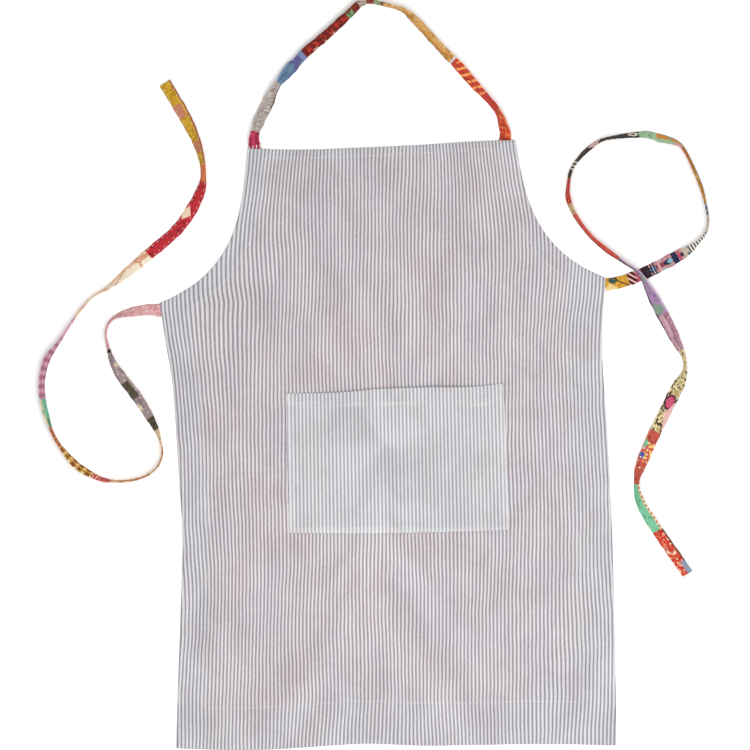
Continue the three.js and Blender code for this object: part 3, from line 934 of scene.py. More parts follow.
def crossing(a, b):
    """Where line a first meets line b, as a fraction of a's steps."""
    p, r = a[:-1, None], np.diff(a, axis=0)[:, None]
    q, s = b[None, :-1], np.diff(b, axis=0)[None]
    w = q - p
    turn = r[..., 0] * s[..., 1] - r[..., 1] * s[..., 0]
    turn = np.where(np.abs(turn) < 1e-15, np.nan, turn)
    t = (w[..., 0] * s[..., 1] - w[..., 1] * s[..., 0]) / turn
    u = (w[..., 0] * r[..., 1] - w[..., 1] * r[..., 0]) / turn
    i, j = np.argwhere((t >= 0) & (t <= 1) & (u >= 0) & (u <= 1))[0]
    return i + t[i, j]


def inner_lines(lines, depths):
    """Each line of a closed outline moved in by its depth, between where it meets its neighbours,
    in as many steps as the line has."""
    moved = [beside(line, depth) for line, depth in zip(lines, depths)]
    made = []
    for k, line in enumerate(lines):
        start = crossing(moved[k], moved[k - 1])
        end = crossing(moved[k], moved[(k + 1) % len(lines)])
        made.append(at_steps(moved[k], np.linspace(start, end, len(line))))
    return made


def filled(bottom, top, left, right, v):
    """A grid of points, row by row, between four lines; left and right run upwards."""
    u = np.linspace(0, 1, len(bottom))[None, :, None]
    v = v[:, None, None]
    between_ends = (1 - v) * bottom[None] + v * top[None]
    between_sides = (1 - u) * left[:, None] + u * right[:, None]
    corners = (1 - v) * ((1 - u) * bottom[0] + u * bottom[-1]) + v * ((1 - u) * top[0] + u * top[-1])
    return between_ends + between_sides - corners


def distance_to(line, points):
    """How far each point is from a line in plan."""
    p = points.reshape(-1, 1, 2)
    a, d = line[None, :-1], np.diff(line, axis=0)[None]
    t = np.clip(((p - a) * d).sum(2) / (d * d).sum(2), 0, 1)
    return np.linalg.norm(p - a - t[..., None] * d, axis=2).min(axis=1).reshape(points.shape[:-1])


# The body's two sides, from the hem up to the neck.
LEFT_BOUND = np.vstack([EDGES["side_left"], EDGES["armhole_left"][1:]])
RIGHT_BOUND = np.vstack([EDGES["side_right"][::-1], EDGES["armhole_right"][::-1][1:]])

# ---------------------------------------------------------------- how the cloth lies

# Soft folds: x, y, the way the fold runs in degrees, its half length, half width and height.
FOLDS = [
    (-0.172, 0.320, 91, 0.110, 0.010, 0.0024), (-0.150, 0.180, 95, 0.080, 0.013, 0.0012),
    (0.150, 0.350, 82, 0.080, 0.012, 0.0018), (0.238, 0.098, -46, 0.050, 0.008, 0.0026),
    (0.262, 0.020, -66, 0.060, 0.011, 0.0018), (0.190, -0.030, 88, 0.110, 0.009, 0.0014),
    (-0.235, -0.200, 87, 0.110, 0.013, 0.0020), (-0.188, -0.290, 95, 0.080, 0.010, 0.0018),
    (-0.262, 0.110, 98, 0.100, 0.012, 0.0016), (-0.100, -0.300, 93, 0.090, 0.012, 0.0012),
    (0.030, -0.330, 86, 0.080, 0.014, 0.0012), (0.180, -0.310, 91, 0.090, 0.014, 0.0012),
    (0.040, 0.260, 92, 0.120, 0.016, 0.0010), (0.250, 0.190, 60, 0.040, 0.010, 0.0020),
    (-0.268, 0.190, 130, 0.035, 0.009, 0.0018),
]
# Long low waves: height, length in x, length in y, and phase.
WAVES = [(0.0006, 0.21, 0.9, 0.4), (0.0005, 0.13, -0.55, 1.9), (0.0003, 0.074, 0.31, 4.0)]

CRUMPLES = 9             # how many small waves crumple the cloth,
CRUMPLE_HEADING = 2.4    # how far each one's heading is from the last one's, in radians,
CRUMPLE_SHORTEST = 0.014
CRUMPLE_LONGER = 0.0035  # how much longer each one is than the last,
CRUMPLE_SLOPE = 0.0022   # and its height against its length


def crumple(x, y):
    """Small uneven wrinkles."""
    total = 0 * x
    for k in range(CRUMPLES):
        heading = CRUMPLE_HEADING * k
        length = CRUMPLE_SHORTEST + CRUMPLE_LONGER * k
        along = x * math.cos(heading) + y * math.sin(heading)
        aside = y * math.cos(heading) - x * math.sin(heading)
        bend = 1.3 * np.sin(aside / (1.7 * length) + k)
        total += CRUMPLE_SLOPE * length * np.sin(2 * math.pi * along / length + bend)
    return total


def lift(p):
    """How far the cloth stands off the table at places in plan."""
    x, y = p[..., 0], p[..., 1]
    total = 0 * x
    for fold_x, fold_y, heading, half_length, half_width, height in FOLDS:
        c, s = math.cos(math.radians(heading)), math.sin(math.radians(heading))
        along = (x - fold_x) * c + (y - fold_y) * s
        across = (y - fold_y) * c - (x - fold_x) * s
        total += height * np.exp(-(along / half_length) ** 2 - (across / half_width) ** 2)
    for height, length_x, length_y, phase in WAVES:
        total += height * (1 + np.sin(2 * math.pi * (x / length_x + y / length_y) + phase))
    return total + np.abs(crumple(x, y))


# How far the stripes are pulled sideways beside the left and right edges, at heights up the body.
LEFT_PULL = [
    (-0.421, -0.004), (-0.25, 0.004), (-0.08, 0.001), (0.074, -0.008), (0.197, -0.022),
    (0.29, -0.008), (0.35, 0.003), (0.412, 0.009),
]
RIGHT_PULL = [
    (-0.417, 0.009), (-0.198, 0.007), (-0.016, 0.0), (0.128, -0.005), (0.232, 0.004),
    (0.3, 0.001), (0.36, -0.006), (0.4235, -0.014),
]
# The lines that the pull fades away from: each side, and straight on from the waist to the neck.
LEFT_PULLED_FROM = np.vstack([EDGES["side_left"], NECK_LEFT])
RIGHT_PULLED_FROM = np.vstack([EDGES["side_right"][::-1], NECK_RIGHT])


HEM_SHEAR_BELOW = -0.352     # the stripes lean by turns in the bottom hem, below this height


def pulled(points, y):
    """The pull at heights up the body."""
    line = smooth_line(points, 200)
    return np.interp(y, line[:, 0], line[:, 1])


def stripe_place(p):
    """Where across the stripes each place in plan lies: x, less how far the cloth is pulled."""
    x, y = p[..., 0], p[..., 1]
    left = np.interp(y, LEFT_PULLED_FROM[:, 1], LEFT_PULLED_FROM[:, 0])
    right = np.interp(y, RIGHT_PULLED_FROM[:, 1], RIGHT_PULLED_FROM[:, 0])
    sway = smoothstep(left + 0.15, left + 0.01, x) * pulled(LEFT_PULL, y)
    sway += smoothstep(right - 0.16, right - 0.01, x) * pulled(RIGHT_PULL, y)
    # Two long sways, and then two small ones.
    sway += 0.0010 * np.sin(y / 0.031 + 3.1 * np.sin(x / 0.07)) * np.sin(x / 0.043 + 1.2)
    sway += 0.0010 * np.sin(y / 0.058 - x / 0.05 + 0.8)
    sway += 0.00022 * np.sin(y / 0.0105 + 2.0 * np.sin(x / 0.031)) * np.sin(x / 0.021 + y / 0.17)
    sway += 0.00015 * np.sin(y / 0.0071 - x / 0.019)
    hem_shear = np.clip(HEM_SHEAR_BELOW - y, 0, 1)
    sway += 0.06 * hem_shear * np.sin(x / 0.06)
    return x - sway


# Heights of the middle of each layer, before its folds.
CLOTH = 0.00045
FRONT_MIDDLE = 0.00262
TURNING_MIDDLE = 0.00030
TURNING_OVER_FACING = 0.00070
FACING_MIDDLE = 0.00022
BACKING_MIDDLE = 0.00150
BACKING_THICKNESS = 0.00105
HEM_SINK = 0.0008        # how much lower the front lies where no backing is under it
SEAM_DIP = 0.00014       # how far a row of stitches pulls the front down,
SEAM_DIP_WIDTH = 0.0016  # and how far from the row
QUILTED_THROUGH = 0.00007    # how high the quilting stands in the front


def edge_distances(p):
    """How far each place in plan is from each of the body's edges."""
    return {name: distance_to(EDGES[name], p) for name in EDGE_NAMES}


def front_height(p):
    """The middle of the striped cloth: it sinks over the hems, and dips along their stitches."""
    away = edge_distances(p)
    over_backing = 1
    dip = 0
    for name in EDGE_NAMES:
        start = HEM_DEPTH[name] - BACKING_UNDER_HEM
        over_backing = over_backing * smoothstep(start - 0.004, start + 0.002, away[name])
        row = HEM_DEPTH[name] - SEAM_TO_HEM_EDGE
        dip = np.maximum(dip, np.exp(-((away[name] - row) / SEAM_DIP_WIDTH) ** 2))
    x, y = p[..., 0], p[..., 1]
    quilt = QUILTED_THROUGH * np.sin(x / 0.0043 + 2 * np.sin(y / 0.021)) * np.sin(y / 0.0051)
    return (
        FRONT_MIDDLE + lift(p) - HEM_SINK * (1 - over_backing) - SEAM_DIP * dip
        + quilt * over_backing
    )


def turning_height(p):
    """The middle of the cloth turned under: it passes over the armhole facings."""
    facing = 0
    for name in ("armhole_left", "armhole_right"):
        facing = np.maximum(facing, smoothstep(0.030, 0.0275, distance_to(EDGES[name], p)))
    return TURNING_MIDDLE + (TURNING_OVER_FACING - TURNING_MIDDLE) * facing + lift(p)


def thicken(piece, thickness):
    """Gives a sheet its thickness, half on each side of it."""
    solid = piece.modifiers.new("thickness", "SOLIDIFY")
    solid.thickness = thickness
    solid.offset = 0.0
    solid.use_even_offset = True


EDGE_TURNS = [math.radians(angle) for angle in (45, 90, 135, 180)]   # steps of a folded edge


def hemmed_cloth(name, grid, lines, depths, top_height, turning_height, material, rows=6):
    """A striped cloth folded over along the edges of its outline and turned under, as one sheet.
    grid is its face in plan, and lines are its edges, clockwise from the grid's upper left corner,
    whose points are the grid's own. Returns the piece, its points in plan, and for each point the
    place in plan where it would be if the cloth were folded out flat."""
    height, width = grid.shape[:2]
    index = np.arange(height * width).reshape(height, width)
    loop = np.concatenate([
        index[-1, :-1], index[:0:-1, -1], index[0, :0:-1], index[:-1, 0],
    ])
    outline = np.vstack([line[:-1] for line in lines])
    inner = np.vstack([line[:-1] for line in inner_lines(lines, depths)])
    normals = np.vstack([inward(line)[:-1] for line in lines])
    ends = [inward(line)[-1] for line in lines]
    corner = 0
    for k, line in enumerate(lines):
        before, after = ends[k - 1], normals[corner]
        normals[corner] = (before + after) / (1 + before @ after)
        corner += len(line) - 1
    above, below = top_height(outline), turning_height(outline)
    radius = ((above - below) / 2)[:, None]
    inset = outline + normals * radius

    plan = grid.reshape(-1, 2).copy()
    plan[loop] = inset
    heights = [top_height(plan)]
    plans, flats = [plan], [plan]
    faces = grid_faces(height, width)
    previous = loop
    count = len(loop)
    middle = (above + below) / 2
    for turn in EDGE_TURNS:
        out = outline + normals * radius * (1 - math.sin(turn))
        plans.append(out)
        flats.append(outline - normals * radius * (turn - math.pi / 2))
        heights.append(middle + radius[:, 0] * math.cos(turn))
    for share in np.linspace(0, 1, rows + 1)[1:]:
        place = inset + (inner - inset) * share
        plans.append(place)
        flats.append(2 * outline - place)
        heights.append(turning_height(place))
    first = height * width
    for _ in range(len(EDGE_TURNS) + rows):
        ring = np.arange(first, first + count)
        for k in range(count):
            j = (k + 1) % count
            faces.append((previous[k], previous[j], ring[j], ring[k]))
        previous = ring
        first += count
    plan = np.vstack(plans)
    points = np.column_stack([plan, np.concatenate(heights)])
    piece = make_piece(name, points, faces, [material])
    thicken(piece, CLOTH)
    return piece, plan, np.vstack(flats)


# ---------------------------------------------------------------- ticking

STRIPE_PITCH = 5.17      # millimetres
STRIPE_SHARE = 0.46
STRIPE_SOFT = 0.10
STRIPE_WANDER = 0.3      # how far the threads stray sideways, in millimetres
SLUB_FADE = 0.22         # how much paler the stripes are where the yarn is thin
# Faint casts of colour that wander over the cloth: the colour, the size of its patches in
# millimetres, how strong it is, and how much its patches are squeezed along the stripes.
TICKING_TINTS = [
    ("fff6e6", 48, 0.16, 0.8), ("e6edff", 62, 0.16, 0.63), ("ffeaed", 40, 0.16, 0.71),
    ("e6e6e6", 34, 0.10, 0.3),
]


def ticking_material(name, light, dark, shifted_light, shifted_dark):
    """White cloth with blue stripes along it. The vector "ticking" gives the place across and
    along in millimetres, and from 0 to 1 how far the stripes turn to the shifted colours: on the front,
    how much the warm backing shows through; on the pocket, paler edges and hem line, the white
    stitch rows with a painted highlight on their puckered folds."""
    cloth = Cloth(name, "ticking")
    straying = cloth.math("SUBTRACT", cloth.noise(1.4, 2.0, (1, 0.05, 0)), 0.5)
    wander = cloth.math("MULTIPLY", straying, STRIPE_WANDER)
    place = cloth.math("DIVIDE", cloth.math("ADD", cloth.along, wander), STRIPE_PITCH)
    stripe = cloth.stripes(place, STRIPE_SHARE, STRIPE_SOFT)
    slub = cloth.between(cloth.noise(0.9, 2.0, (1, 0.2, 0)), 0.35, 0.75)
    stripe = cloth.math("MULTIPLY", stripe, cloth.math("MULTIPLY_ADD", slub, -SLUB_FADE, 1.0))
    ground = cloth.mix(cloth.third, tint(light), tint(shifted_light))
    blue = cloth.mix(cloth.third, tint(dark), tint(shifted_dark))
    colour = cloth.mix(stripe, ground, blue)
    for code, size, amount, squeeze in TICKING_TINTS:
        cast = cloth.between(cloth.noise(size, 3.0, (1, squeeze, 1)), 0.42, 0.62)
        colour = cloth.mix(cloth.math("MULTIPLY", cast, amount), colour, tint(code), "MULTIPLY")
    return cloth.finish(colour, TICKING_WRINKLES, weave=0.5, wrinkle=9.0)


ticking = ticking_material("ticking", "e1e0e1", "9193a2", "e5dcdc", "958f99")
# On the pocket the last two colours are the paler edges and hem line: the white stitch rows with a painted
# highlight on their puckered folds.
pocket_ticking = ticking_material("pocket_ticking", "e3e2e1", "9fa2ae", "efeeec", "c4c6cc")

# How strongly each block of the backing's old cloth shows through the front: rows from the bottom,
# blocks from the left.
SHOW_THROUGH = [
    (0.75, 0.95, 0.60, 0.80, 0.70, 0.45), (1.00, 0.70, 0.90, 0.55, 0.80, 0.60),
    (0.80, 1.00, 0.75, 0.90, 0.65, 0.80), (0.95, 0.75, 0.85, 0.70, 0.95, 0.55),
    (0.70, 0.90, 1.00, 0.80, 0.75, 0.85), (0.85, 0.65, 0.80, 0.95, 0.60, 0.70),
    (0.90, 0.80, 0.65, 0.75, 0.90, 0.80),
]
BLOCKS_FROM = (-0.30, -0.38)     # the lower left corner of those blocks, and their whole size
BLOCKS_SIZE = (0.60, 0.80)
HEM_WARMTH = {
    "top": 0.35, "armhole_right": 0.55, "side_right": 0.35,
    "bottom": 0.45, "side_left": 0.35, "armhole_left": 0.25,
}


def show_through(p, away):
    """How warm the front looks: the backing's blocks, and less over the hems."""
    x, y = p[..., 0], p[..., 1]
    table = np.array(SHOW_THROUGH)
    rows, columns = table.shape
    column = np.clip((x - BLOCKS_FROM[0]) / BLOCKS_SIZE[0] * columns - 0.5, 0, columns - 1.001)
    row = np.clip((y - BLOCKS_FROM[1]) / BLOCKS_SIZE[1] * rows - 0.5, 0, rows - 1.001)
    c, r = column.astype(int), row.astype(int)
    s, t = smoothstep(0.35, 0.65, column - c), smoothstep(0.35, 0.65, row - r)
    low = table[r, c] * (1 - s) + table[r, c + 1] * s
    high = table[r + 1, c] * (1 - s) + table[r + 1, c + 1] * s
    warmth = low * (1 - t) + high * t
    for name in EDGE_NAMES:
        past_hem = smoothstep(HEM_DEPTH[name] - 0.004, HEM_DEPTH[name] + 0.003, away[name])
        warmth = warmth * (HEM_WARMTH[name] + (1 - HEM_WARMTH[name]) * past_hem)
    return warmth


# ---------------------------------------------------------------- the striped front

WAIST_SHARE = 0.76       # how far up the grid the waist is
side_share = np.linspace(0, WAIST_SHARE, SIDE_ROWS + 1)
armhole_share = np.linspace(WAIST_SHARE, 1, ARMHOLE_ROWS + 1)[1:]
front_grid = filled(
    EDGES["bottom"][::-1], EDGES["top"], LEFT_BOUND, RIGHT_BOUND,
    np.concatenate([side_share, armhole_share]))
turn_depths = [ARMHOLE_TURNING if "armhole" in name else HEM_DEPTH[name] for name in EDGE_NAMES]
front, front_plan, front_flat = hemmed_cloth(
    "front_cloth", front_grid, EDGE_LINES, turn_depths, front_height, turning_height, ticking)
warmth = show_through(front_plan, edge_distances(front_plan))
warmth[front_grid.shape[0] * front_grid.shape[1]:] = 0   # nothing shows through what is turned under
give_vector(front, "ticking", np.column_stack([
    stripe_place(front_flat) / MM, front_flat[:, 1] / MM, warmth,
]))
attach(front, "apron")
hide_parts("front_panel")

# ---------------------------------------------------------------- rows of stitches

SEAM_PITCH = 0.0031
SEAM_HALF = 0.00125
SEAM_RADIUS = 0.00028


def seam(name, line, height):
    """A row of stitches along a line in plan, on the cloth whose middle is at that height."""
    length = distance_along(line)[-1]
    at = np.arange(SEAM_PITCH / 2, length, SEAM_PITCH)
    place = at_distances(line, at)
    ahead = at_distances(line, at + SEAM_HALF / 2) - at_distances(line, at - SEAM_HALF / 2)
    centres = np.column_stack([place, height(place) + CLOTH / 2])
    directions = np.column_stack([ahead, 0 * at])
    ups = np.tile((0.0, 0.0, 1.0), (len(at), 1))
    return stitches(name, centres, directions, ups, SEAM_HALF, SEAM_RADIUS, [white_thread])


seam_depths = [HEM_DEPTH[name] - SEAM_TO_HEM_EDGE for name in EDGE_NAMES]
seam_rows = inner_lines(EDGE_LINES, seam_depths)
for edge_name, row in zip(EDGE_NAMES, seam_rows):
    piece = seam(f"{edge_name}_stitches", row, front_height)
    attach(piece, "apron")
    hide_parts(f"{edge_name}_thread")

# ---------------------------------------------------------------- armhole facings

FACING_INSET = 0.0008
FACING_THICKNESS = 0.00038
FACING_ROWS = 8
for side in ("left", "right"):
    edge_name = f"armhole_{side}"
    k = EDGE_NAMES.index(edge_name)
    outer_depths = [FACING_INSET] * len(EDGE_LINES)
    inner_depths = list(outer_depths)
    inner_depths[k] = HEM_DEPTH[edge_name]
    outer = inner_lines(EDGE_LINES, outer_depths)[k]
    inner = inner_lines(EDGE_LINES, inner_depths)[k]
    share = np.linspace(0, 1, FACING_ROWS + 1)[:, None, None]
    rows = outer[None] * (1 - share) + inner[None] * share
    plan = rows.reshape(-1, 2)
    height = FACING_MIDDLE + lift(plan)
    piece = make_piece(
        f"facing_{side}", np.column_stack([plan, height]),
        grid_faces(len(share), len(outer)), [ticking])
    give_vector(piece, "ticking", np.column_stack([plan / MM, 0 * height]))
    thicken(piece, FACING_THICKNESS)
    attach(piece, "apron")
    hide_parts(f"armhole_facing_{side}")
    length = round(float(distance_along(EDGES[edge_name])[-1]), 3)

# ---------------------------------------------------------------- quilted backing


def quilt_material(name, ground, prints):
    """The material of one of the backing's old cloths."""
    cloth = Cloth(name, "quilt")
    return cloth.finish(cloth.printed(ground, prints), QUILT_WRINKLES, wrinkle=8.0)


QUILT_CLOTHS = [quilt_material(f"quilt_{name}", ground, prints) for name, ground, prints in (
    ("rose", "c98d92", [("e2b8b6", spots(9, 0.3)), ("a8606c", blotches(14, 0.3))]),
    ("cream", "dccbb2", [("b98a70", veins(16, 0.04)), ("c9a688", blotches(12, 0.3))]),
    ("plum", "8d6f8d", [("c2a6bd", spots(7, 0.26)), ("6d4f70", bands(22, 0.3))]),
    ("salmon", "d49b84", [("b96f58", bands(18, 0.4, 0.5, 10)), ("efd2bf", spots(6, 0.2))]),
    ("blue", "8797b5", [("dfe2ea", spots(10, 0.22)), ("5f7096", lengthwise(26, 0.2))]),
    ("ochre", "cda566", [("8d5c34", veins(12, 0.05)), ("e2c796", blotches(10, 0.35))]),
)]
QUILT_BLOCK = (0.105, 0.132)     # the size of one block of old cloth
QUILT_ROW = 0.011                # between rows of running stitches
QUILT_PITCH = 0.0085             # between the stitches of a row
QUILT_HALF = 0.002
QUILT_RADIUS = 0.00024
QUILT_MARGIN = 0.004             # how far a row stops short of the backing's edge
HALF_COLUMNS = 76                # of points across one half of the backing
SEAM_GAP = 0.00015
MIDDLE_LINE = np.array([(0.0, -1.0), (0.0, 1.0)])


def quilt_relief(p):
    """The quilted cloth swells between its rows of stitches."""
    y = p[..., 1]
    return 0.00011 * np.abs(np.sin(math.pi * y / QUILT_ROW)) + 0.00003 * np.sin(p[..., 0] / 0.0023)


def backing_height(p):
    """The middle of the backing."""
    return BACKING_MIDDLE + lift(p) - quilt_relief(p)


backing_depths = [HEM_DEPTH[name] - BACKING_UNDER_HEM for name in EDGE_NAMES]
backing_lines = dict(zip(EDGE_NAMES, inner_lines(EDGE_LINES, backing_depths)))


def backing_half(side):
    """One half of the backing, from the middle seam out to under the hems."""
    sign = -1 if side == "left" else 1
    bottom = backing_lines["bottom"][::-1]
    top = backing_lines["top"]
    outer = {
        "left": [backing_lines["side_left"], backing_lines["armhole_left"]],
        "right": [backing_lines["side_right"][::-1], backing_lines["armhole_right"][::-1]],
    }[side]
    outer = np.vstack([outer[0], outer[1][1:]])
    ends = []
    for line in (bottom, top):
        at = crossing(line, MIDDLE_LINE)
        span = (0, at) if sign < 0 else (at, len(line) - 1)
        half = at_steps(line, np.linspace(*span, HALF_COLUMNS))
        half[-1 if sign < 0 else 0, 0] = sign * SEAM_GAP
        ends.append(half)
    inner = np.array([ends[0][-1 if sign < 0 else 0], ends[1][-1 if sign < 0 else 0]])
    share = distance_along(outer) / distance_along(outer)[-1]
    inner = at_steps(inner, share)
    left, right = (outer, inner) if sign < 0 else (inner, outer)
    grid = filled(ends[0], ends[1], left, right, share)
    plan = grid.reshape(-1, 2)
    faces = grid_faces(*grid.shape[:2])
    middles = plan[np.array(faces)].mean(axis=1)
    column = np.floor((np.abs(middles[:, 0])) / QUILT_BLOCK[0]).astype(int)
    row = np.floor((middles[:, 1] + 0.4 + 0.05 * (column % 2)) / QUILT_BLOCK[1]).astype(int)
    which = (column * 2 + row * 3 + (row * column) % 2 + (2 if sign > 0 else 0)) % len(QUILT_CLOTHS)
    piece = make_piece(
        f"quilt_{side}", np.column_stack([plan, backing_height(plan)]), faces, QUILT_CLOTHS, which)
    give_vector(piece, "quilt", np.column_stack([plan[:, ::-1] / MM, np.zeros(len(plan))]))
    thicken(piece, BACKING_THICKNESS)
    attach(piece, "apron")
    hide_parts(f"backing_{side}")
    return piece, grid


def running_rows(side, grid):
    """Rows of running stitches across the underside of one half."""
    low, high = grid[..., 1].min() + 0.006, grid[..., 1].max() - 0.006
    centres = []
    for k, y in enumerate(np.arange(low, high, QUILT_ROW)):
        near = np.abs(grid[..., 1] - y) < 0.004
        inside = grid[..., 0][near]
        if len(inside) < 2:
            continue
        start = inside.min() + QUILT_MARGIN + QUILT_PITCH / 2 * (k % 2)
        xs = np.arange(start, inside.max() - QUILT_MARGIN, QUILT_PITCH)
        centres.append(np.column_stack([xs, np.full(len(xs), y)]))
    plan = np.vstack(centres)
    points = np.column_stack([plan, backing_height(plan) - BACKING_THICKNESS / 2])
    piece = stitches(
        f"quilt_{side}_stitches", points, np.tile((1.0, 0.0, 0.0), (len(points), 1)),
        np.tile((0.0, 0.0, -1.0), (len(points), 1)), QUILT_HALF, QUILT_RADIUS, [pale_thread])
    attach(piece, "apron")
    return piece


for side in ("left", "right"):
    half, half_grid = backing_half(side)
    half_stitches = running_rows(side, half_grid)
    spread_x = float(np.ptp(half_grid[..., 0]))
    spread_y = float(np.ptp(half_grid[..., 1]))

# ---------------------------------------------------------------- pocket

POCKET_COLUMNS = 84
POCKET_ROWS = 56
POCKET_WIDTH = 0.304
POCKET_HEIGHT = 0.199
MOUTH_LEFT = (-0.142, 0.0715)
MOUTH_RIGHT = (0.160, 0.0855)
FOOT_LEFT = (-0.136, -0.122)
FOOT_RIGHT = (0.168, -0.118)
POCKET_MOUTH = [MOUTH_LEFT, (-0.07, 0.073), (-0.01, 0.078), (0.06, 0.0802), (0.113, 0.0808), MOUTH_RIGHT]
POCKET_RIGHT = [MOUTH_RIGHT, (0.1632, 0.02), (0.1655, -0.05), FOOT_RIGHT]
POCKET_BOTTOM = [FOOT_RIGHT, (0.08, -0.1205), (-0.02, -0.1225), FOOT_LEFT]
POCKET_LEFT = [FOOT_LEFT, (-0.1375, -0.06), (-0.1405, 0.0), MOUTH_LEFT]
POCKET_LINES = [
    evenly(smooth_line(points, FINE), count) for points, count in (
        (POCKET_MOUTH, POCKET_COLUMNS), (POCKET_RIGHT, POCKET_ROWS),
        (POCKET_BOTTOM, POCKET_COLUMNS), (POCKET_LEFT, POCKET_ROWS),
    )
]
POCKET_TURNINGS = [0.021, 0.009, 0.009, 0.009]
LAYER = 0.00052          # from the middle of one layer of cloth to the next
SWELL = 0.0012           # how far the pocket stands off the front all over,
GAPE = 0.0042            # and how much further its mouth does


def pocket_share(p):
    """How far across and up the pocket each place in plan is."""
    x, y = p[..., 0], p[..., 1]
    left = np.interp(y, (FOOT_LEFT[1], MOUTH_LEFT[1]), (FOOT_LEFT[0], MOUTH_LEFT[0]))
    right = np.interp(y, (FOOT_RIGHT[1], MOUTH_RIGHT[1]), (FOOT_RIGHT[0], MOUTH_RIGHT[0]))
    u = (x - left) / (right - left)
    v = (y + 0.121) / POCKET_HEIGHT
    return np.clip(u, 0, 1), np.clip(v, 0, 1)


def pocket_swell(p):
    """How far the pocket stands off the front: a little all over, and most at its mouth."""
    u, v = pocket_share(p)
    from_sides = smoothstep(0.015, 0.20, u) * smoothstep(0.985, 0.80, u)
    from_bottom = smoothstep(0.02, 0.45, v)
    gape = np.exp(-((u - 0.70) / 0.17) ** 2) + 0.45 * np.exp(-((u - 0.33) / 0.15) ** 2)
    at_mouth = smoothstep(0.45, 1.0, v)
    return SWELL * from_sides * from_bottom + GAPE * gape * from_sides * at_mouth


def pocket_turning_height(p):
    """The middle of what is turned under at the pocket's edges."""
    return FRONT_MIDDLE + lift(p) + 0.0005 + LAYER + pocket_swell(p)


def pocket_height(p):
    """The middle of the pocket's face."""
    return pocket_turning_height(p) + 1.25 * LAYER


pocket_up = np.linspace(0, 1, POCKET_ROWS + 1)
pocket_grid = filled(
    POCKET_LINES[2][::-1], POCKET_LINES[0], POCKET_LINES[3], POCKET_LINES[1][::-1], pocket_up)
pocket, _, pocket_flat = hemmed_cloth(
    "pocket_cloth", pocket_grid, POCKET_LINES, POCKET_TURNINGS, pocket_height,
    pocket_turning_height, pocket_ticking, rows=5)
u, v = pocket_share(pocket_flat)
# The pocket's stripes start a little to the side of the front's, and lean across it.
STRIPE_START = 0.0016
lean = 0.004 * (v - 0.5) + 0.0015 * (u - 0.5) * 2 * (v - 0.5)
# The cloth is painted paler along its edges and along the line of its hem: the pale of the white stitch
# rows, and a painted highlight for the light that their puckered folds catch.
from_edge = np.minimum(np.minimum(u, 1 - u) * POCKET_WIDTH, v * POCKET_HEIGHT)
from_mouth = (1 - v) * POCKET_HEIGHT
stitch_pale_and_highlight = np.maximum(
    0.5 * smoothstep(0.0085, 0.0045, from_edge),
    0.6 * smoothstep(0.0016, 0.0004, np.abs(from_mouth - POCKET_TURNINGS[0])))
give_vector(pocket, "ticking", np.column_stack([
    (pocket_flat[:, 0] + STRIPE_START + lean) / MM, pocket_flat[:, 1] / MM, stitch_pale_and_highlight,
]))
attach(pocket, "apron")
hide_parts("pocket_panel")

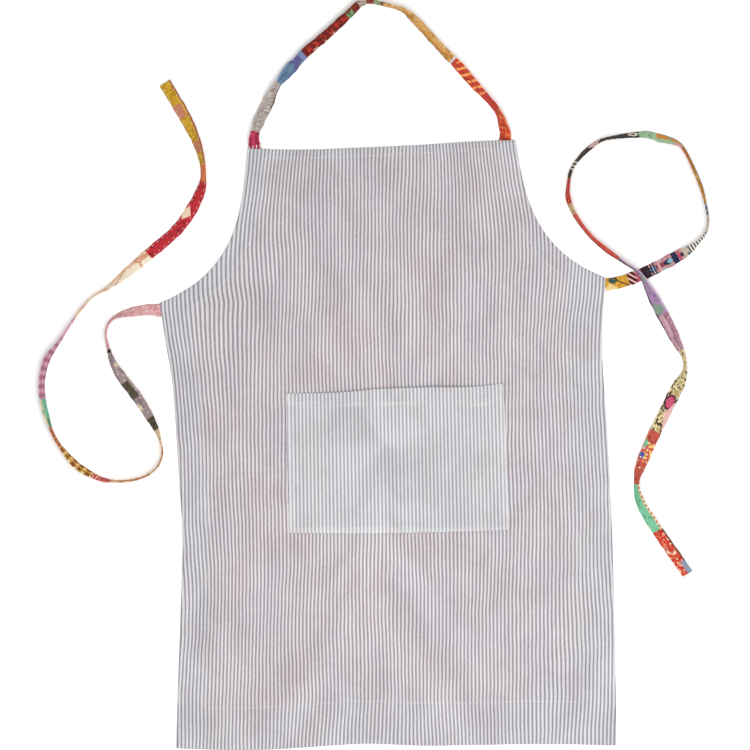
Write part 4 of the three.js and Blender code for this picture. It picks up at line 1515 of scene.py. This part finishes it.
SEWN_INSET = 0.0026
HEM_ROW_INSET = 0.0195   # from the mouth to the stitches of its hem
SEWN_BELOW_MOUTH = 0.010
sewn = inner_lines(POCKET_LINES, [SEWN_BELOW_MOUTH, SEWN_INSET, SEWN_INSET, SEWN_INSET])
around = seam("pocket_stitches", np.vstack(sewn[1:]), pocket_height)
hem_row = inner_lines(POCKET_LINES, [HEM_ROW_INSET, SEWN_INSET, SEWN_INSET, SEWN_INSET])[0]
across_mouth = seam("pocket_hem_stitches", hem_row, pocket_height)
TACK_LENGTH = 0.009
TACK_WIDTH = 0.0022
TACK_STITCHES = 15
TACK_RADIUS = 0.00027
TACK_SLANT = 0.28
TACK_INSET = (0.001, 0.0012)     # from the corner of the mouth to the tack
tacks = []
for side, corner_point, sign in (("left", MOUTH_LEFT, 1), ("right", MOUTH_RIGHT, -1)):
    steps = np.linspace(0, 1, TACK_STITCHES)
    centre_x = corner_point[0] + sign * (TACK_INSET[0] + TACK_WIDTH / 2)
    down = corner_point[1] - TACK_INSET[1] - TACK_LENGTH * steps
    place = np.column_stack([np.full(TACK_STITCHES, centre_x), down])
    centres = np.column_stack([place, pocket_height(place) + CLOTH / 2 + 0.0001])
    slants = np.column_stack([
        np.ones(TACK_STITCHES), TACK_SLANT * (-1.0) ** np.arange(TACK_STITCHES), 0 * steps])
    tacks.append(stitches(
        f"bar_tack_{side}", centres, slants, np.tile((0.0, 0.0, 1.0), (TACK_STITCHES, 1)),
        TACK_WIDTH / 2, TACK_RADIUS, [white_thread]))
for piece, node in (
    (around, "pocket_thread"), (across_mouth, "pocket_hem_thread"),
    (tacks[0], "pocket_tack_left"), (tacks[1], "pocket_tack_right"),
):
    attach(piece, "apron")
    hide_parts(node)

# ---------------------------------------------------------------- floor and light

FLOOR_REACH = 12.0
FLOOR_BELOW = 0.1 * MM
FLOOR_COLOUR = (0.92, 0.92, 0.92, 1)
FLOOR_ROUGHNESS = 0.9
WORLD_STRENGTH = 0.76
floor = make_piece(
    "floor",
    [(x * FLOOR_REACH, y * FLOOR_REACH, -FLOOR_BELOW) for x, y in ((-1, -1), (1, -1), (1, 1), (-1, 1))],
    [(0, 1, 2, 3)], [])
floor_material = bpy.data.materials.new("floor")
floor_material.use_nodes = True
floor_shader = floor_material.node_tree.nodes["Principled BSDF"]
floor_shader.inputs["Base Color"].default_value = FLOOR_COLOUR
floor_shader.inputs["Roughness"].default_value = FLOOR_ROUGHNESS
floor.data.materials.append(floor_material)

world = bpy.data.worlds.new("studio")
world.use_nodes = True
world.node_tree.nodes["Background"].inputs["Color"].default_value = (1.0, 1.0, 1.0, 1)
world.node_tree.nodes["Background"].inputs["Strength"].default_value = WORLD_STRENGTH
bpy.context.scene.world = world

SOFTBOX_AT = (0.25, -0.3, 1.7)
SOFTBOX_SIZE = 1.5
SOFTBOX_POWER = 30.0
softbox_data = bpy.data.lights.new("softbox", "AREA")
softbox_data.size = SOFTBOX_SIZE
softbox_data.energy = SOFTBOX_POWER
softbox = bpy.data.objects.new("softbox", softbox_data)
softbox.location = SOFTBOX_AT
softbox.visible_camera = False
bpy.context.scene.collection.objects.link(softbox)

bpy.context.scene.view_settings.view_transform = "Standard"
